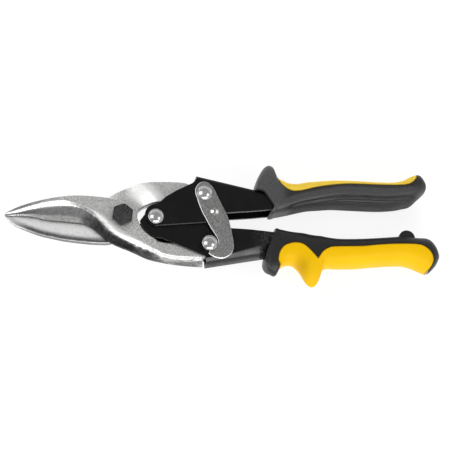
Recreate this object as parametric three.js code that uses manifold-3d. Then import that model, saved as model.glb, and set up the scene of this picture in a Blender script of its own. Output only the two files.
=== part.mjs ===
import * as THREE from 'three';
import { mergeVertices } from 'three/addons/utils/BufferGeometryUtils.js';
import Module from 'manifold-3d';

const wasm = await Module();
wasm.setup();

// All sizes in mm. Z is the axis of every pivot, +X runs to the grips, +Y to the
// upper handle. Heights are drawn from the face where the jaws meet, and the
// finished part is moved down so the origin is the top of the bolt head.

// pivot centres
const JAW_PIVOT = [0, 0];
const HANDLE_PIVOT = [19.0, -1.2];
const UPPER_TANG = [47.5, 12.5];
const LOWER_TANG = [49.0, -18.0];

// levels across the tool
const SHEAR_GAP = 0.1; // each jaw stands this far off the shear plane
const JAW_FACE = 5.4; // outer face of either jaw at the pivot
const TANG = 3.6; // half thickness of the jaw tails
const INNER_WALL_IN = 3.8; // lower channel, inside half width
const INNER_WALL_OUT = 5.3;
const OUTER_WALL_IN = 5.6; // upper channel, inside half width
const OUTER_WALL_OUT = 7.2;
const BOSS = 5.3; // half thickness of the back jaw tail at its rivet
const LATCH_Z0 = 7.6;
const LATCH_Z1 = 9.2;
const FOLD = 3.0; // outside radius of the channel folds

// fasteners
const BOLT_FLATS = 11.0;
const BOLT_HEAD = 4.0;
const BOLT_R = 4.0;
const NUT_FLATS = 11.0;
const NUT_H = 4.2;
const RIVET_HEAD_R = 4.45;
const RIVET_DOME = 1.9;
const RIVET_R = 2.5;
const NECK_R = 1.9; // grooved neck of the lower rivet that the latch hooks
const RUN = 0.06; // radial running clearance of a pivot
const SLACK = 0.32; // radial slack of the lower tail's rivet hole

// torsion spring
const WIRE = 1.4;
const COIL_R = 4.6;
const COILS = 4;

// jaw outlines, tip to tail: [upper side, bevel or fillet crest, fillet foot, edge side]
const FRONT_TOP = [
  [-66.2, 2.9], [-63.2, 4.3], [-60.2, 5.7],
  [-56.2, 7.1], [-51, 8.6], [-45, 10],
  [-39, 11.1], [-33, 11.9], [-27.5, 12.2],
  [-21.6, 12.2], [-16, 11.8], [-11, 11.3],
  [-6, 10.5], [-2, 9.5], [1.5, 7.8],
  [4.2, 5.5], [6.3, 3], [7.8, 0.5],
  [9, -2.8], [10.4, -6.3], [12.5, -9.3],
  [16.2, -12.5], [21, -14.9], [27, -15.8],
  [33, -15.4], [39, -14],
];
const FRONT_CREST = [
  [-66.25, 2.6], [-62.9, 3.2], [-59.9, 4],
  [-56, 5.1], [-51, 6.6], [-45, 8.3],
  [-39, 9.1], [-33, 9.2], [-28, 7.9],
  [-22.5, 5.8], [-18.6, 3.6], [-15, 1.1],
  [-11.6, -1.2], [-8.9, -4.3], [-6.1, -7.3],
  [-3.1, -9.7], [-0.3, -11.5], [2.8, -12.9],
  [6, -14.3], [9.5, -15.9], [12.9, -17.6],
  [16.4, -19.4], [22.1, -22], [28, -23.4],
  [36, -24.2], [45.4, -24.5],
];
const FRONT_FOOT = [
  [-66.3, 2.25], [-62.7, 2.5], [-59.6, 2.9],
  [-55.8, 3.6], [-50.6, 4.6], [-44.6, 5.5],
  [-38.6, 6.1], [-32.6, 6.5], [-27, 6.1],
  [-22.2, 5], [-18.6, 2.9], [-15.2, 0.1],
  [-12.2, -2.7], [-9.7, -5.7], [-6.8, -8.9],
  [-3.6, -11.4], [-0.5, -13.2], [2.5, -14.8],
  [5.6, -16.3], [9.1, -18], [12.6, -19.6],
  [16.5, -21.2], [22.2, -23.6], [28.2, -25.1],
  [36.2, -25.7], [45.5, -25.8],
];
const FRONT_EDGE = [
  [-66.35, 1.3], [-62.5, 1], [-59, 0.8],
  [-55, 0.5], [-50, -0.2], [-44, -1.7],
  [-38, -2.4], [-32, -2.9], [-26.8, -3.5],
  [-21.7, -4.2], [-18.2, -5.8], [-14.9, -8.4],
  [-11.5, -11.5], [-8.4, -14.1], [-5, -16.1],
  [-1.4, -17.8], [2, -19.3], [5.3, -20.7],
  [8.7, -21.8], [12.1, -22.9], [15.5, -24],
  [19.6, -25.1], [25.7, -26.4], [32.6, -27.4],
  [39.5, -28.1], [45.6, -28.5],
];
const FRONT_SPINE_Z = [1.3, 2.0, 2.6, 3.2, 3.8, 4.4, 4.9, 5.2, 5.4];
const FRONT_FOOT_Z = [1.1, 1.4, 1.7, 2.1, 2.4, 2.7, 2.9, 3.0, 3.2, 3.4, 3.5, 3.6, 3.6];

const BACK_EDGE = [
  [-66.6, 2.4], [-63, 2.8], [-60, 2.8],
  [-56, 2.7], [-51, 2.1], [-45, 0.8],
  [-39, 0], [-33, -0.5], [-27, -1],
  [-21.5, -0.8], [-17.5, 2.6], [-13.5, 7],
  [-10, 10.6], [-6.8, 13.1], [-3.5, 15],
  [-0.2, 16.6], [3.2, 17.8], [6.7, 18.8],
  [10.2, 20], [13.6, 20.7], [17.2, 21.1],
  [22, 21.2], [27.5, 21.2], [33, 21],
  [38, 20.4],
];
const BACK_SPINE = [
  [-66.7, 0.9], [-63.6, -2.1], [-60.4, -4.5],
  [-56.8, -6], [-52, -7.9], [-46, -10],
  [-40, -11.4], [-34, -12.7], [-28, -13.6],
  [-22, -14.3], [-17, -14.8], [-12, -15],
  [-7.5, -14.9], [-3.5, -13.6], [0, -11.6],
  [3, -9.2], [5.6, -6.4], [7.6, -3.2],
  [8.9, 0], [9.2, 2.9], [10.8, 5.6],
  [14.4, 7.8], [19.2, 8.7], [25.5, 8.9],
  [32, 8.2],
];

// where each back jaw row is sampled, edge to spine
const BACK_ACROSS = [0, 0.1, 0.34, 0.58, 0.7, 0.92, 1];

// channel outlines in plan
const UPPER_NOSE = [19.2, -0.2, 6.4];
const UPPER_TOP = [[25, 10.6], [31.2, 14.4], [38.3, 17.9], [41.2, 19.4], [43.6, 22.2], [43.6, 32], [90, 24], [104, 15], [104, 8.2]];
const UPPER_LOW = [[96, 5.2], [88, 3.3], [83, 2.8], [74.8, 2.05], [60.8, 1.15], [56.7, 0.6], [53.6, -1.6], [50.8, -4], [47.2, -4.6], [32, -5.6]];
const UPPER_WEB = { x: 43.4, y: 24.25, slope: -0.25 };
const LOWER_NOSE = [19.0, -1.2, 9.2];
const LOWER_CROWN = [19.0, -1.2, 6.5];
const LOWER_SHOULDER = [11.45, -1.2];
const LOWER_LOW = [
  [12.3, -8], [15.2, -11.3], [18.6, -12.8], [22.3, -13.4], [24.3, -14.3], [35, -19], [46.6, -24.2], [47.15, -25.2],
  [47.15, -36], [85.4, -30], [85.8, -16.3], [110, -16.0],
];
const LOWER_TOP = [[110, -12.6], [98, -11.7], [88, -10.2], [81, -9.3], [74, -8.5], [69, -8.1], [60.6, -7.6], [30, 4]];
const LOWER_WEB = { x: 47.6, y: -29.4, slope: 0.155 };

// latch plate outline in plan, hooked nose last
const LATCH_PLAN = [
  [53.82, -15.6], [51.9, -11.9], [49.6, -7.9], [47.6, -3.6], [45.9, 0], [44.2, 4.6], [42.9, 9.2], [42.2, 12.2],
  [42.3, 15.2], [43.8, 17.7], [45.6, 19], [47.6, 19.4], [49.6, 18.8], [51.6, 17.2], [53.5, 14.1], [56.6, 6.7],
  [59.8, -0.6], [61.2, -6], [62.2, -12], [62.9, -18.6], [62.3, -22.4], [60.6, -24.9], [58.2, -26.4], [55.6, -27.1],
  [52.4, -26.6], [50.0, -25.5], [48.1, -24.0], [50.25, -19.98], [52.3, -19.76], [53.25, -19.37], [53.87, -18.46],
  [53.9, -17.05],
];
const DIMPLE = [52.7, 1.2, 2.9, 0.9];

// grips: [x, low y, high y, half width, low exponent, high exponent]
const UPPER_GRIP = [
  [77.8, 8, 18.2, 8.6, 4, 3], [80, 6, 24, 9, 4, 2.6], [83.4, 2.6, 29.7, 9.2, 4, 2.2],
  [86, 1.5, 32.1, 9.3, 4, 2], [88, 1.3, 32.2, 9.4, 4, 2], [89.6, 1.6, 30.6, 9.5, 4, 2.1],
  [91.2, 2, 24.8, 9.6, 4, 2.4], [93.5, 2.4, 22.9, 9.8, 3.6, 2.5], [98, 3.3, 20.6, 10, 3.2, 2.5],
  [103, 4.5, 20.2, 10.2, 3, 2.5], [109, 5.7, 21.1, 10.6, 2.8, 2.5], [116, 6.2, 21.6, 11, 2.6, 2.5],
  [124, 6.6, 22.1, 11.2, 2.5, 2.5], [136, 6.1, 21.9, 11.4, 2.5, 2.5], [150, 5.5, 21.1, 11.2, 2.5, 2.5],
  [160, 5.9, 21, 11, 2.5, 2.5], [166, 6.9, 22.3, 10.8, 2.5, 2.5], [170.5, 8, 24.6, 10.6, 2.5, 2.5],
  [174.5, 11.2, 25.9, 10.2, 2.4, 2.4], [176.8, 13.2, 25.1, 9.2, 2.3, 2.3], [179, 15.2, 21.6, 7, 2.2, 2.2],
  [179.9, 16.6, 18.9, 3.5, 2, 2],
];
const UPPER_MOUTH = [[70, 15.4], [78.3, 15], [81.9, 14.2], [85.4, 9.3], [87.6, 5.4], [87.3, 3.4], [85.4, 1.4], [84.6, -8], [70, -8]];
const UPPER_SHELL = [
  [91.7, 40], [91.7, 20.4], [92.8, 18], [95.3, 15.4], [97.6, 14], [100.1, 13.4], [105.4, 13.9], [111, 15.2],
  [118, 16.4], [126, 17.3], [133.6, 17.7], [149.1, 17.4], [162.8, 17.2], [167, 17.6], [169.8, 18.6], [172.4, 20.8],
  [173.8, 23.4], [174.6, 27], [175, 40],
];
const LOWER_GRIP = [
  [79.6, -29.4, -18, 6.5, 3, 4], [81.8, -31.8, -14, 7.2, 2.6, 4], [84.4, -33.3, -10, 7.8, 2.4, 4],
  [86.4, -34.4, -8.4, 8.2, 2.3, 4], [88.2, -34, -7.9, 8.5, 2.4, 4], [90, -31, -7.8, 8.8, 2.5, 3.6],
  [92.5, -29, -8.2, 9, 2.5, 3.2], [96, -28.2, -9, 9.3, 2.5, 3], [99.2, -29.4, -9.4, 9.5, 2.4, 2.8],
  [102.4, -33.8, -9.6, 9.6, 2, 2.7], [104.6, -38.6, -9.7, 9.6, 1.8, 2.6], [106.4, -41, -10, 9.7, 1.7, 2.5],
  [108.3, -41.9, -10.4, 9.7, 1.7, 2.5], [110.6, -40.9, -10.9, 9.8, 1.7, 2.5], [113, -37, -11.3, 9.9, 1.8, 2.5],
  [115, -32, -11.7, 10, 2.2, 2.5], [118.5, -30.2, -12.6, 10.2, 2.4, 2.5], [125, -30.2, -13.6, 10.6, 2.5, 2.5],
  [135, -30, -13.8, 11, 2.5, 2.5], [145, -29.1, -13.5, 11.2, 2.5, 2.5], [155, -28.5, -12.9, 11.2, 2.5, 2.5],
  [163, -28.5, -12.4, 11, 2.5, 2.5], [169, -30.2, -13, 10.8, 2.5, 2.5], [173, -32.3, -13.2, 10.6, 2.4, 2.5],
  [177, -33.9, -13.2, 10, 2.3, 2.4], [180, -31.9, -14.6, 9, 2.2, 2.3], [182.6, -29, -18, 7, 2.1, 2.2],
  [184.3, -26, -22, 3.6, 2, 2],
];
const LOWER_MOUTH = [
  [70, 2], [89, 2], [88.3, -8],
  [87.7, -10.3], [85.2, -15.8], [82.8, -20.9],
  [81.5, -25.2], [81.4, -28.2], [82.3, -31.2],
  [83.9, -33.3], [86, -35], [87, -42],
  [70, -42],
];
const LOWER_SHELL = [
  [89.8, -50], [89.8, -29.6], [88.5, -28], [88.7, -24.9], [90.1, -21.6], [93, -18.9], [98.4, -17.6], [103.3, -18.6],
  [107.2, -22.1], [111.3, -27.2], [114, -23.4], [117.5, -21.2], [121.6, -20.4], [137.1, -20.4], [149.6, -19.4], [162.1, -19],
  [170.4, -19.2], [174.4, -20.4], [178, -23.5], [179.6, -27.8], [178.4, -31.4], [176, -34], [175.6, -50],
].reverse();
const BUMPER = [165.7, -13.7, 4.8, 5.2]; // x, y, radius, half width

const CIRCLE = 32;
const AROUND = 20; // points round a grip section

// ---------------------------------------------------------------- helpers
function solid(positions, triangles) {
  const source = new THREE.BufferGeometry();
  source.setAttribute('position', new THREE.Float32BufferAttribute(positions, 3));
  source.setIndex(Array.from(triangles));
  const merged = mergeVertices(source, 1e-4);
  const p = merged.getAttribute('position').array;
  const index = merged.getIndex().array;
  const keep = [];
  let volume = 0;
  for (let i = 0; i < index.length; i += 3) {
    const [a, b, c] = [index[i], index[i + 1], index[i + 2]];
    if (a === b || b === c || a === c) continue;
    keep.push(a, b, c);
    const [ax, ay, az, bx, by, bz, cx, cy, cz] = [a, b, c].flatMap((v) => [p[3 * v], p[3 * v + 1], p[3 * v + 2]]);
    volume += ax * (by * cz - bz * cy) + ay * (bz * cx - bx * cz) + az * (bx * cy - by * cx);
  }
  if (volume < 0) for (let i = 0; i < keep.length; i += 3) [keep[i], keep[i + 1]] = [keep[i + 1], keep[i]];
  return new wasm.Manifold(
    new wasm.Mesh({ numProp: 3, vertProperties: new Float32Array(p), triVerts: new Uint32Array(keep) }),
  );
}

function fromGeometry(geometry) {
  const index = geometry.getIndex();
  const count = geometry.getAttribute('position').count;
  return solid(geometry.getAttribute('position').array, index ? index.array : Array.from({ length: count }, (_, i) => i));
}

function plate(outline, z0, z1) {
  const shape = new THREE.Shape(outline.map(([x, y]) => new THREE.Vector2(x, y)));
  const geometry = new THREE.ExtrudeGeometry(shape, { depth: z1 - z0, bevelEnabled: false });
  geometry.translate(0, 0, z0);
  return fromGeometry(geometry);
}

function turned(profile, [x, y], segments = CIRCLE) {
  const geometry = new THREE.LatheGeometry(profile.map(([r, z]) => new THREE.Vector2(r, z)), segments);
  geometry.rotateX(Math.PI / 2);
  geometry.translate(x, y, 0);
  return fromGeometry(geometry);
}

function disc([x, y], r, z0, z1, segments = CIRCLE) {
  return turned([[0, z0], [r, z0], [r, z1], [0, z1]], [x, y], segments);
}

function arc([x, y, r], from, to, steps) {
  return Array.from({ length: steps + 1 }, (_, i) => {
    const a = THREE.MathUtils.degToRad(from + ((to - from) * i) / steps);
    return [x + r * Math.cos(a), y + r * Math.sin(a)];
  });
}

// a sheet of rows of [x, y, upper z, lower z] closed round its rim
function sheet(rows) {
  const across = rows[0].length;
  const positions = [];
  for (const side of [2, 3]) for (const row of rows) for (const point of row) positions.push(point[0], point[1], point[side]);
  const lower = rows.length * across;
  const triangles = [];
  const quad = (a, b, c, d) => triangles.push(a, b, c, a, c, d);
  for (let i = 0; i + 1 < rows.length; i++) {
    for (let j = 0; j + 1 < across; j++) {
      const a = i * across + j;
      quad(a, a + 1, a + across + 1, a + across);
      quad(lower + a, lower + a + across, lower + a + across + 1, lower + a + 1);
    }
    for (const j of [0, across - 1]) {
      const a = i * across + j;
      if (j === 0) quad(a, a + across, lower + a + across, lower + a);
      else quad(a + across, a, lower + a, lower + a + across);
    }
  }
  for (let j = 0; j + 1 < across; j++) {
    quad(j + 1, j, lower + j, lower + j + 1);
    const a = (rows.length - 1) * across + j;
    quad(a, a + 1, lower + a + 1, lower + a);
  }
  return solid(positions, triangles);
}

const clamp = (v) => Math.min(1, Math.max(0, v));
const smooth = (a, b, v) => {
  const t = clamp((v - a) / (b - a));
  return t * t * (3 - 2 * t);
};
const mix = (a, b, t) => a + (b - a) * t;
const between = (p, q, t) => [mix(p[0], q[0], t), mix(p[1], q[1], t)];
const at = (list, i) => list[Math.min(i, list.length - 1)];

function grow(outline, amount) {
  const n = outline.length;
  const area = outline.reduce((s, p, i) => s + p[0] * outline[(i + 1) % n][1] - p[1] * outline[(i + 1) % n][0], 0);
  const sign = area > 0 ? 1 : -1;
  return outline.map((p, i) => {
    const a = outline[(i + n - 1) % n];
    const b = outline[(i + 1) % n];
    const d1 = new THREE.Vector2(p[0] - a[0], p[1] - a[1]).normalize();
    const d2 = new THREE.Vector2(b[0] - p[0], b[1] - p[1]).normalize();
    const normal = new THREE.Vector2(d1.y + d2.y, -d1.x - d2.x).normalize();
    const stretch = Math.max(0.5, normal.x * d1.y - normal.y * d1.x);
    return [p[0] + (sign * amount * normal.x) / stretch, p[1] + (sign * amount * normal.y) / stretch];
  });
}

// ---------------------------------------------------------------- jaws
function frontJaw() {
  const rows = FRONT_TOP.map((top, i) => {
    const crest = FRONT_CREST[i];
    const foot = FRONT_FOOT[i];
    const edge = FRONT_EDGE[i];
    const blade = 1 - smooth(8, 13, i);
    const under = ([x, y]) => mix(SHEAR_GAP, -TANG, smooth(4, 15, x) * smooth(11, 16, Math.hypot(x, y)));
    const step = smooth(17.2, 21.2, top[0]) * (i > 15 ? 1 : 0);
    const face = mix(at(FRONT_SPINE_Z, i), TANG, step);
    const footZ = mix(mix(at(FRONT_FOOT_Z, i), face - 1.8, smooth(9, 13, i)), face - 1.8, step);
    const edgeZ = mix(SHEAR_GAP + 0.8, under(edge) + 2.2, smooth(9, 13, i));
    const shoulder = between(top, crest, 0.12);
    const hollow = between(foot, edge, 0.45);
    const bevel = between(foot, edge, 0.86);
    const bevelZ = mix(edgeZ + 0.5, mix(footZ, edgeZ, 0.86), 1 - blade);
    const hollowZ = mix(mix(footZ, bevelZ, 0.66), mix(footZ, edgeZ, 0.45), 1 - blade);
    const point = (p, z) => [p[0], p[1], z, Math.min(under(p), z - 0.5)];
    return [
      point(top, face - 0.6), point(shoulder, face), point(crest, face), point(foot, footZ),
      point(hollow, hollowZ), point(bevel, bevelZ), point(edge, edgeZ),
    ];
  });
  const [x, y] = LOWER_TANG;
  const tang = plate(
    [[30, -17], [39, -14], [44.4, -12.6], ...arc([x, y, 6.3], 110, -112, 16), [44, -24.0], [30, -23.2]].reverse(),
    -TANG, TANG,
  );
  return sheet(rows)
    .add(tang)
    .subtract(disc(JAW_PIVOT, BOLT_R + 0.03, -9, 9))
    .subtract(disc(LOWER_TANG, RIVET_R + SLACK, -9, 9));
}

function backJaw() {
  const rows = BACK_EDGE.map((edge, i) => {
    const spine = BACK_SPINE[i];
    const tail = smooth(9, 13, i);
    const height = at(FRONT_SPINE_Z, i);
    return BACK_ACROSS.map((t, j) => {
      const p = between(edge, spine, t);
      const rise = smooth(13.5, 24, Math.hypot(...p)) * smooth(-4, 4, p[1]) * (i > 11 ? 1 : 0);
      const round = [0.5, 0, 0, 0, 0, 0.1, 0.9][j];
      const upper = mix(-SHEAR_GAP - (j > 3 ? round : 0), TANG - round * 0.6, rise);
      const blade = [0.9, 1.4, 0.42 * height + 0.5, 0.56 * height + 0.4, height, height, height - 2.2][j];
      const full = mix(JAW_FACE, TANG, smooth(17, 22, p[0])) - [0.4, 0, 0, 0, 0, 0, mix(2.2, 0.4, smooth(-8, 4, p[0]))][j];
      return [p[0], p[1], upper, -mix(Math.max(blade, 0.7 + round), full, tail)];
    });
  });
  const [x, y] = UPPER_TANG;
  const tang = plate(
    [[30, 9.2], [36, 7.4], [42.4, 6.6], ...arc([x, y, 6.3], -112, 105, 16), [38, 19.8], [30, 20]],
    -TANG, TANG,
  );
  return sheet(rows)
    .add(tang)
    .add(disc(UPPER_TANG, 6.0, -BOSS, BOSS))
    .subtract(disc(JAW_PIVOT, BOLT_R + RUN, -9, 9))
    .subtract(disc(UPPER_TANG, RIVET_R + RUN, -9, 9));
}

// ---------------------------------------------------------------- fasteners
function hexagon(flats, angle) {
  const r = flats / Math.sqrt(3);
  return arc([0, 0, r], angle + 30, angle + 330, 5);
}

function pivotBolt() {
  const z0 = JAW_FACE + 0.05;
  const top = z0 + BOLT_HEAD;
  const r = BOLT_FLATS / Math.sqrt(3);
  const crown = turned([[0, z0], [r + 1, z0], [r + 1, top - 1.5], [BOLT_FLATS / 2 - 0.2, top], [0, top]], JAW_PIVOT, 48);
  const end = -(JAW_FACE + 0.05 + NUT_H + 1.2);
  const shank = turned([[0, end], [BOLT_R - 0.7, end], [BOLT_R, end + 0.7], [BOLT_R, z0 + 1], [0, z0 + 1]], JAW_PIVOT);
  return plate(hexagon(BOLT_FLATS, 50), z0, top).intersect(crown).add(shank);
}

function pivotNut() {
  const z1 = -(JAW_FACE + 0.05);
  const z0 = z1 - NUT_H;
  const r = NUT_FLATS / Math.sqrt(3);
  const crown = turned([[0, z0], [NUT_FLATS / 2 - 0.2, z0], [r + 0.4, z0 + 1.0], [r + 0.4, z1], [0, z1]], JAW_PIVOT, 48);
  return plate(hexagon(NUT_FLATS, 12), z0, z1).intersect(crown).subtract(disc(JAW_PIVOT, BOLT_R + 0.03, z0 - 1, z1 + 1));
}

const dome = (z, side) => {
  const rim = [[RIVET_HEAD_R, z], [RIVET_HEAD_R, z + side * 0.45], [RIVET_HEAD_R - 0.25, z + side * 0.65]];
  const cap = [0.8, 0.55, 0.3].map((t) => [RIVET_HEAD_R * t, z + side * (0.65 + (RIVET_DOME - 0.65) * (1 - t * t))]);
  return [...rim, ...cap, [0, z + side * RIVET_DOME]];
};

function rivet(centre, low, high, collar = []) {
  return turned([...dome(-low, -1).reverse(), [RIVET_R, -low], ...collar, [collar.length ? NECK_R : RIVET_R, high], ...dome(high, 1)], centre);
}

function openingSpring() {
  const [x, y] = HANDLE_PIVOT;
  const half = 2.55;
  const points = [[69, 14.6, half], [64.5, 8.0, half], [58, 4.8, half], [48, 3.9, half], [30, 3.6, half]];
  const turns = 3.5;
  const steps = Math.round(turns * 14);
  for (let i = 0; i <= steps; i++) {
    const a = Math.PI / 2 + (turns * 2 * Math.PI * i) / steps;
    points.push([x + COIL_R * Math.cos(a), y + COIL_R * Math.sin(a), mix(half, -half, i / steps)]);
  }
  points.push([30, -6.6, -half], [48, -9.0, -half], [57.5, -11.5, -half], [62.5, -17, -half], [66, -23.4, -half]);
  const path = new THREE.CatmullRomCurve3(points.map((p) => new THREE.Vector3(...p)), false, 'centripetal');
  const shape = new THREE.Shape(arc([0, 0, WIRE / 2], 0, 300, 5).map(([u, v]) => new THREE.Vector2(u, v)));
  return fromGeometry(new THREE.ExtrudeGeometry(shape, { steps: 84, extrudePath: path, bevelEnabled: false }));
}

// ---------------------------------------------------------------- handles
function foldedSection(web, inHalf, outHalf, side) {
  const wall = outHalf - inHalf;
  const deep = 48;
  const outer = [...arc([FOLD, FOLD - outHalf, FOLD], 270, 180, 5), ...arc([FOLD, outHalf - FOLD, FOLD], 180, 90, 5)];
  const r = FOLD - wall;
  const inner = [...arc([FOLD, inHalf - r, r], 90, 180, 4), ...arc([FOLD, r - inHalf, r], 180, 270, 4)];
  const section = [[deep, -outHalf], ...outer, [deep, outHalf], [deep, inHalf], ...inner, [deep, -inHalf]];
  const geometry = new THREE.ExtrudeGeometry(new THREE.Shape(section.map(([u, v]) => new THREE.Vector2(u, v))), {
    depth: 125, bevelEnabled: false,
  });
  const along = new THREE.Vector3(1, web.slope, 0).normalize();
  const inward = new THREE.Vector3(-along.y, along.x, 0).multiplyScalar(side);
  const place = new THREE.Matrix4().makeBasis(inward, new THREE.Vector3(0, 0, 1), along);
  geometry.applyMatrix4(place);
  const start = -40;
  geometry.translate(web.x + along.x * start, web.y + along.y * start, 0);
  return fromGeometry(geometry);
}

const webY = (web, x) => web.y + web.slope * (x - web.x);

function upperHandle() {
  const outline = [...arc(UPPER_NOSE, 265, 82, 14), ...UPPER_TOP, ...UPPER_LOW];
  return foldedSection(UPPER_WEB, OUTER_WALL_IN, OUTER_WALL_OUT, -1)
    .intersect(plate(outline.reverse(), -9, 9))
    .subtract(disc(HANDLE_PIVOT, RIVET_R + 0.03, -9, 9))
    .subtract(disc(UPPER_TANG, RIVET_R + 0.03, -9, 9));
}

function lowerHandle() {
  const outline = [...arc(LOWER_CROWN, 52, 165, 12), LOWER_SHOULDER, ...arc(LOWER_NOSE, 192, 222, 4), ...LOWER_LOW, ...LOWER_TOP];
  return foldedSection(LOWER_WEB, INNER_WALL_IN, INNER_WALL_OUT, 1)
    .intersect(plate(outline, -9, 9))
    .subtract(disc(HANDLE_PIVOT, RIVET_R + RUN, -9, 9))
    .subtract(disc(LOWER_TANG, RIVET_R + 0.03, -9, 9));
}

function latchPlate() {
  const [x, y, r, h] = DIMPLE;
  const bump = turned([[0, LATCH_Z1 - 0.2], [r, LATCH_Z1 - 0.2], [r * 0.8, LATCH_Z1 + h * 0.45], [r * 0.5, LATCH_Z1 + h * 0.85], [0, LATCH_Z1 + h]], [x, y], 24);
  const dent = turned([[0, LATCH_Z0 + h * 0.8], [r * 0.5, LATCH_Z0 + h * 0.6], [r * 0.8, LATCH_Z0 - 0.3], [0, LATCH_Z0 - 0.3]], [x, y], 24);
  return plate([...LATCH_PLAN].reverse(), LATCH_Z0, LATCH_Z1)
    .add(bump)
    .subtract(dent)
    .subtract(disc(UPPER_TANG, RIVET_R + RUN, 0, 12));
}

function latchWasher() {
  return disc(UPPER_TANG, 5.0, OUTER_WALL_OUT + 0.03, LATCH_Z0 - 0.05).subtract(disc(UPPER_TANG, RIVET_R + 0.03, 0, 12));
}

// ---------------------------------------------------------------- grips
function gripBody(stations) {
  const positions = [];
  const triangles = [];
  for (const [x, low, high, half, nLow, nHigh] of stations) {
    const centre = (low + high) / 2;
    const reach = (high - low) / 2;
    for (let k = 0; k < AROUND; k++) {
      const a = (2 * Math.PI * (k + 0.5)) / AROUND;
      const n = Math.sin(a) < 0 ? nLow : nHigh;
      const c = Math.cos(a);
      const s = Math.sin(a);
      positions.push(x, centre + reach * Math.sign(s) * Math.abs(s) ** (2 / n), half * Math.sign(c) * Math.abs(c) ** (2 / n));
    }
  }
  const rows = stations.length;
  for (let i = 0; i + 1 < rows; i++) {
    for (let k = 0; k < AROUND; k++) {
      const a = i * AROUND + k;
      const b = i * AROUND + ((k + 1) % AROUND);
      triangles.push(a, b, b + AROUND, a, b + AROUND, a + AROUND);
    }
  }
  for (const [i, flip] of [[0, true], [rows - 1, false]]) {
    const [x, low, high] = stations[i];
    const hub = positions.length / 3;
    positions.push(x, (low + high) / 2, 0);
    for (let k = 0; k < AROUND; k++) {
      const a = i * AROUND + k;
      const b = i * AROUND + ((k + 1) % AROUND);
      if (flip) triangles.push(hub, b, a);
      else triangles.push(hub, a, b);
    }
  }
  return solid(positions, triangles);
}

function upperSocket() {
  const web = (x) => [x, webY(UPPER_WEB, x) + 0.2];
  const outline = [web(70), web(104.2), [104.2, 8.0], [96, 5.0], [88, 3.1], [83, 2.6], [74.8, 1.85], [70, 1.55]];
  return plate(outline.reverse(), -OUTER_WALL_OUT - 0.15, OUTER_WALL_OUT + 0.15);
}

function lowerSocket() {
  const web = (x) => [x, webY(LOWER_WEB, x) - 0.2];
  const outline = [web(70), web(85.7), [86, -16.5], [110.2, -16.2], [110.2, -12.4], [98, -11.5], [88, -10.0], [81, -9.1], [74, -8.3], [70, -7.95]];
  return plate(outline, -INNER_WALL_OUT - 0.15, INNER_WALL_OUT + 0.15);
}

function bumperShape(extra) {
  const [x, y, r, half] = BUMPER;
  const outline = [...arc([x, y, r + extra], 0, 180, 16), [x - r - extra, y - 2.4 - extra], [x + r + extra, y - 2.4 - extra]];
  return plate(outline, -half - extra, half + extra);
}

const upperWhole = gripBody(UPPER_GRIP);
const lowerWhole = gripBody(LOWER_GRIP);

const upperGrip = () =>
  upperWhole.subtract(plate([...UPPER_MOUTH].reverse(), -20, 20)).subtract(upperSocket()).subtract(plate(grow(UPPER_SHELL, 0.05), -20, 20));
const upperInlay = () => upperWhole.intersect(plate(UPPER_SHELL, -20, 20));
const lowerGrip = () =>
  lowerWhole
    .subtract(plate([...LOWER_MOUTH].reverse(), -20, 20))
    .subtract(lowerSocket())
    .subtract(plate(grow(LOWER_SHELL, 0.05), -20, 20))
    .subtract(bumperShape(0.05));
const lowerInlay = () => lowerWhole.intersect(plate(LOWER_SHELL, -20, 20));

// ---------------------------------------------------------------- assembly
const LOOKS = {
  forged: { color: 0xb4b4b2, roughness: 0.42, metalness: 0.9 },
  bolt: { color: 0x1c1c1e, roughness: 0.55, metalness: 0.6 },
  plated: { color: 0xc9c9c9, roughness: 0.2, metalness: 1.0 },
  latch: { color: 0xa2a2a0, roughness: 0.45, metalness: 0.85 },
  spring: { color: 0x8c8c8c, roughness: 0.35, metalness: 0.95 },
  enamel: { color: 0x141415, roughness: 0.3, metalness: 0.1 },
  rubber: { color: 0x2e2e30, roughness: 0.65, metalness: 0.0 },
  yellow: { color: 0xf5bd10, roughness: 0.5, metalness: 0.0 },
};

// The shapes above are drawn from the plane where the jaws lap; the finished
// part is moved down so that its origin is the centre of the bolt head's top.
const HEAD_TOP = JAW_FACE + 0.05 + BOLT_HEAD;

function mesh(name, body, look) {
  const { vertProperties, triVerts, numProp } = body.translate([0, 0, -HEAD_TOP]).getMesh();
  const geometry = new THREE.BufferGeometry();
  const positions = new Float32Array((vertProperties.length / numProp) * 3);
  for (let i = 0; i < positions.length / 3; i++) for (let k = 0; k < 3; k++) positions[3 * i + k] = vertProperties[numProp * i + k];
  geometry.setAttribute('position', new THREE.BufferAttribute(positions, 3));
  geometry.setIndex(Array.from(triVerts));
  geometry.computeVertexNormals();
  const out = new THREE.Mesh(geometry, new THREE.MeshStandardMaterial(LOOKS[look]));
  out.name = name;
  return out;
}

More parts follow.
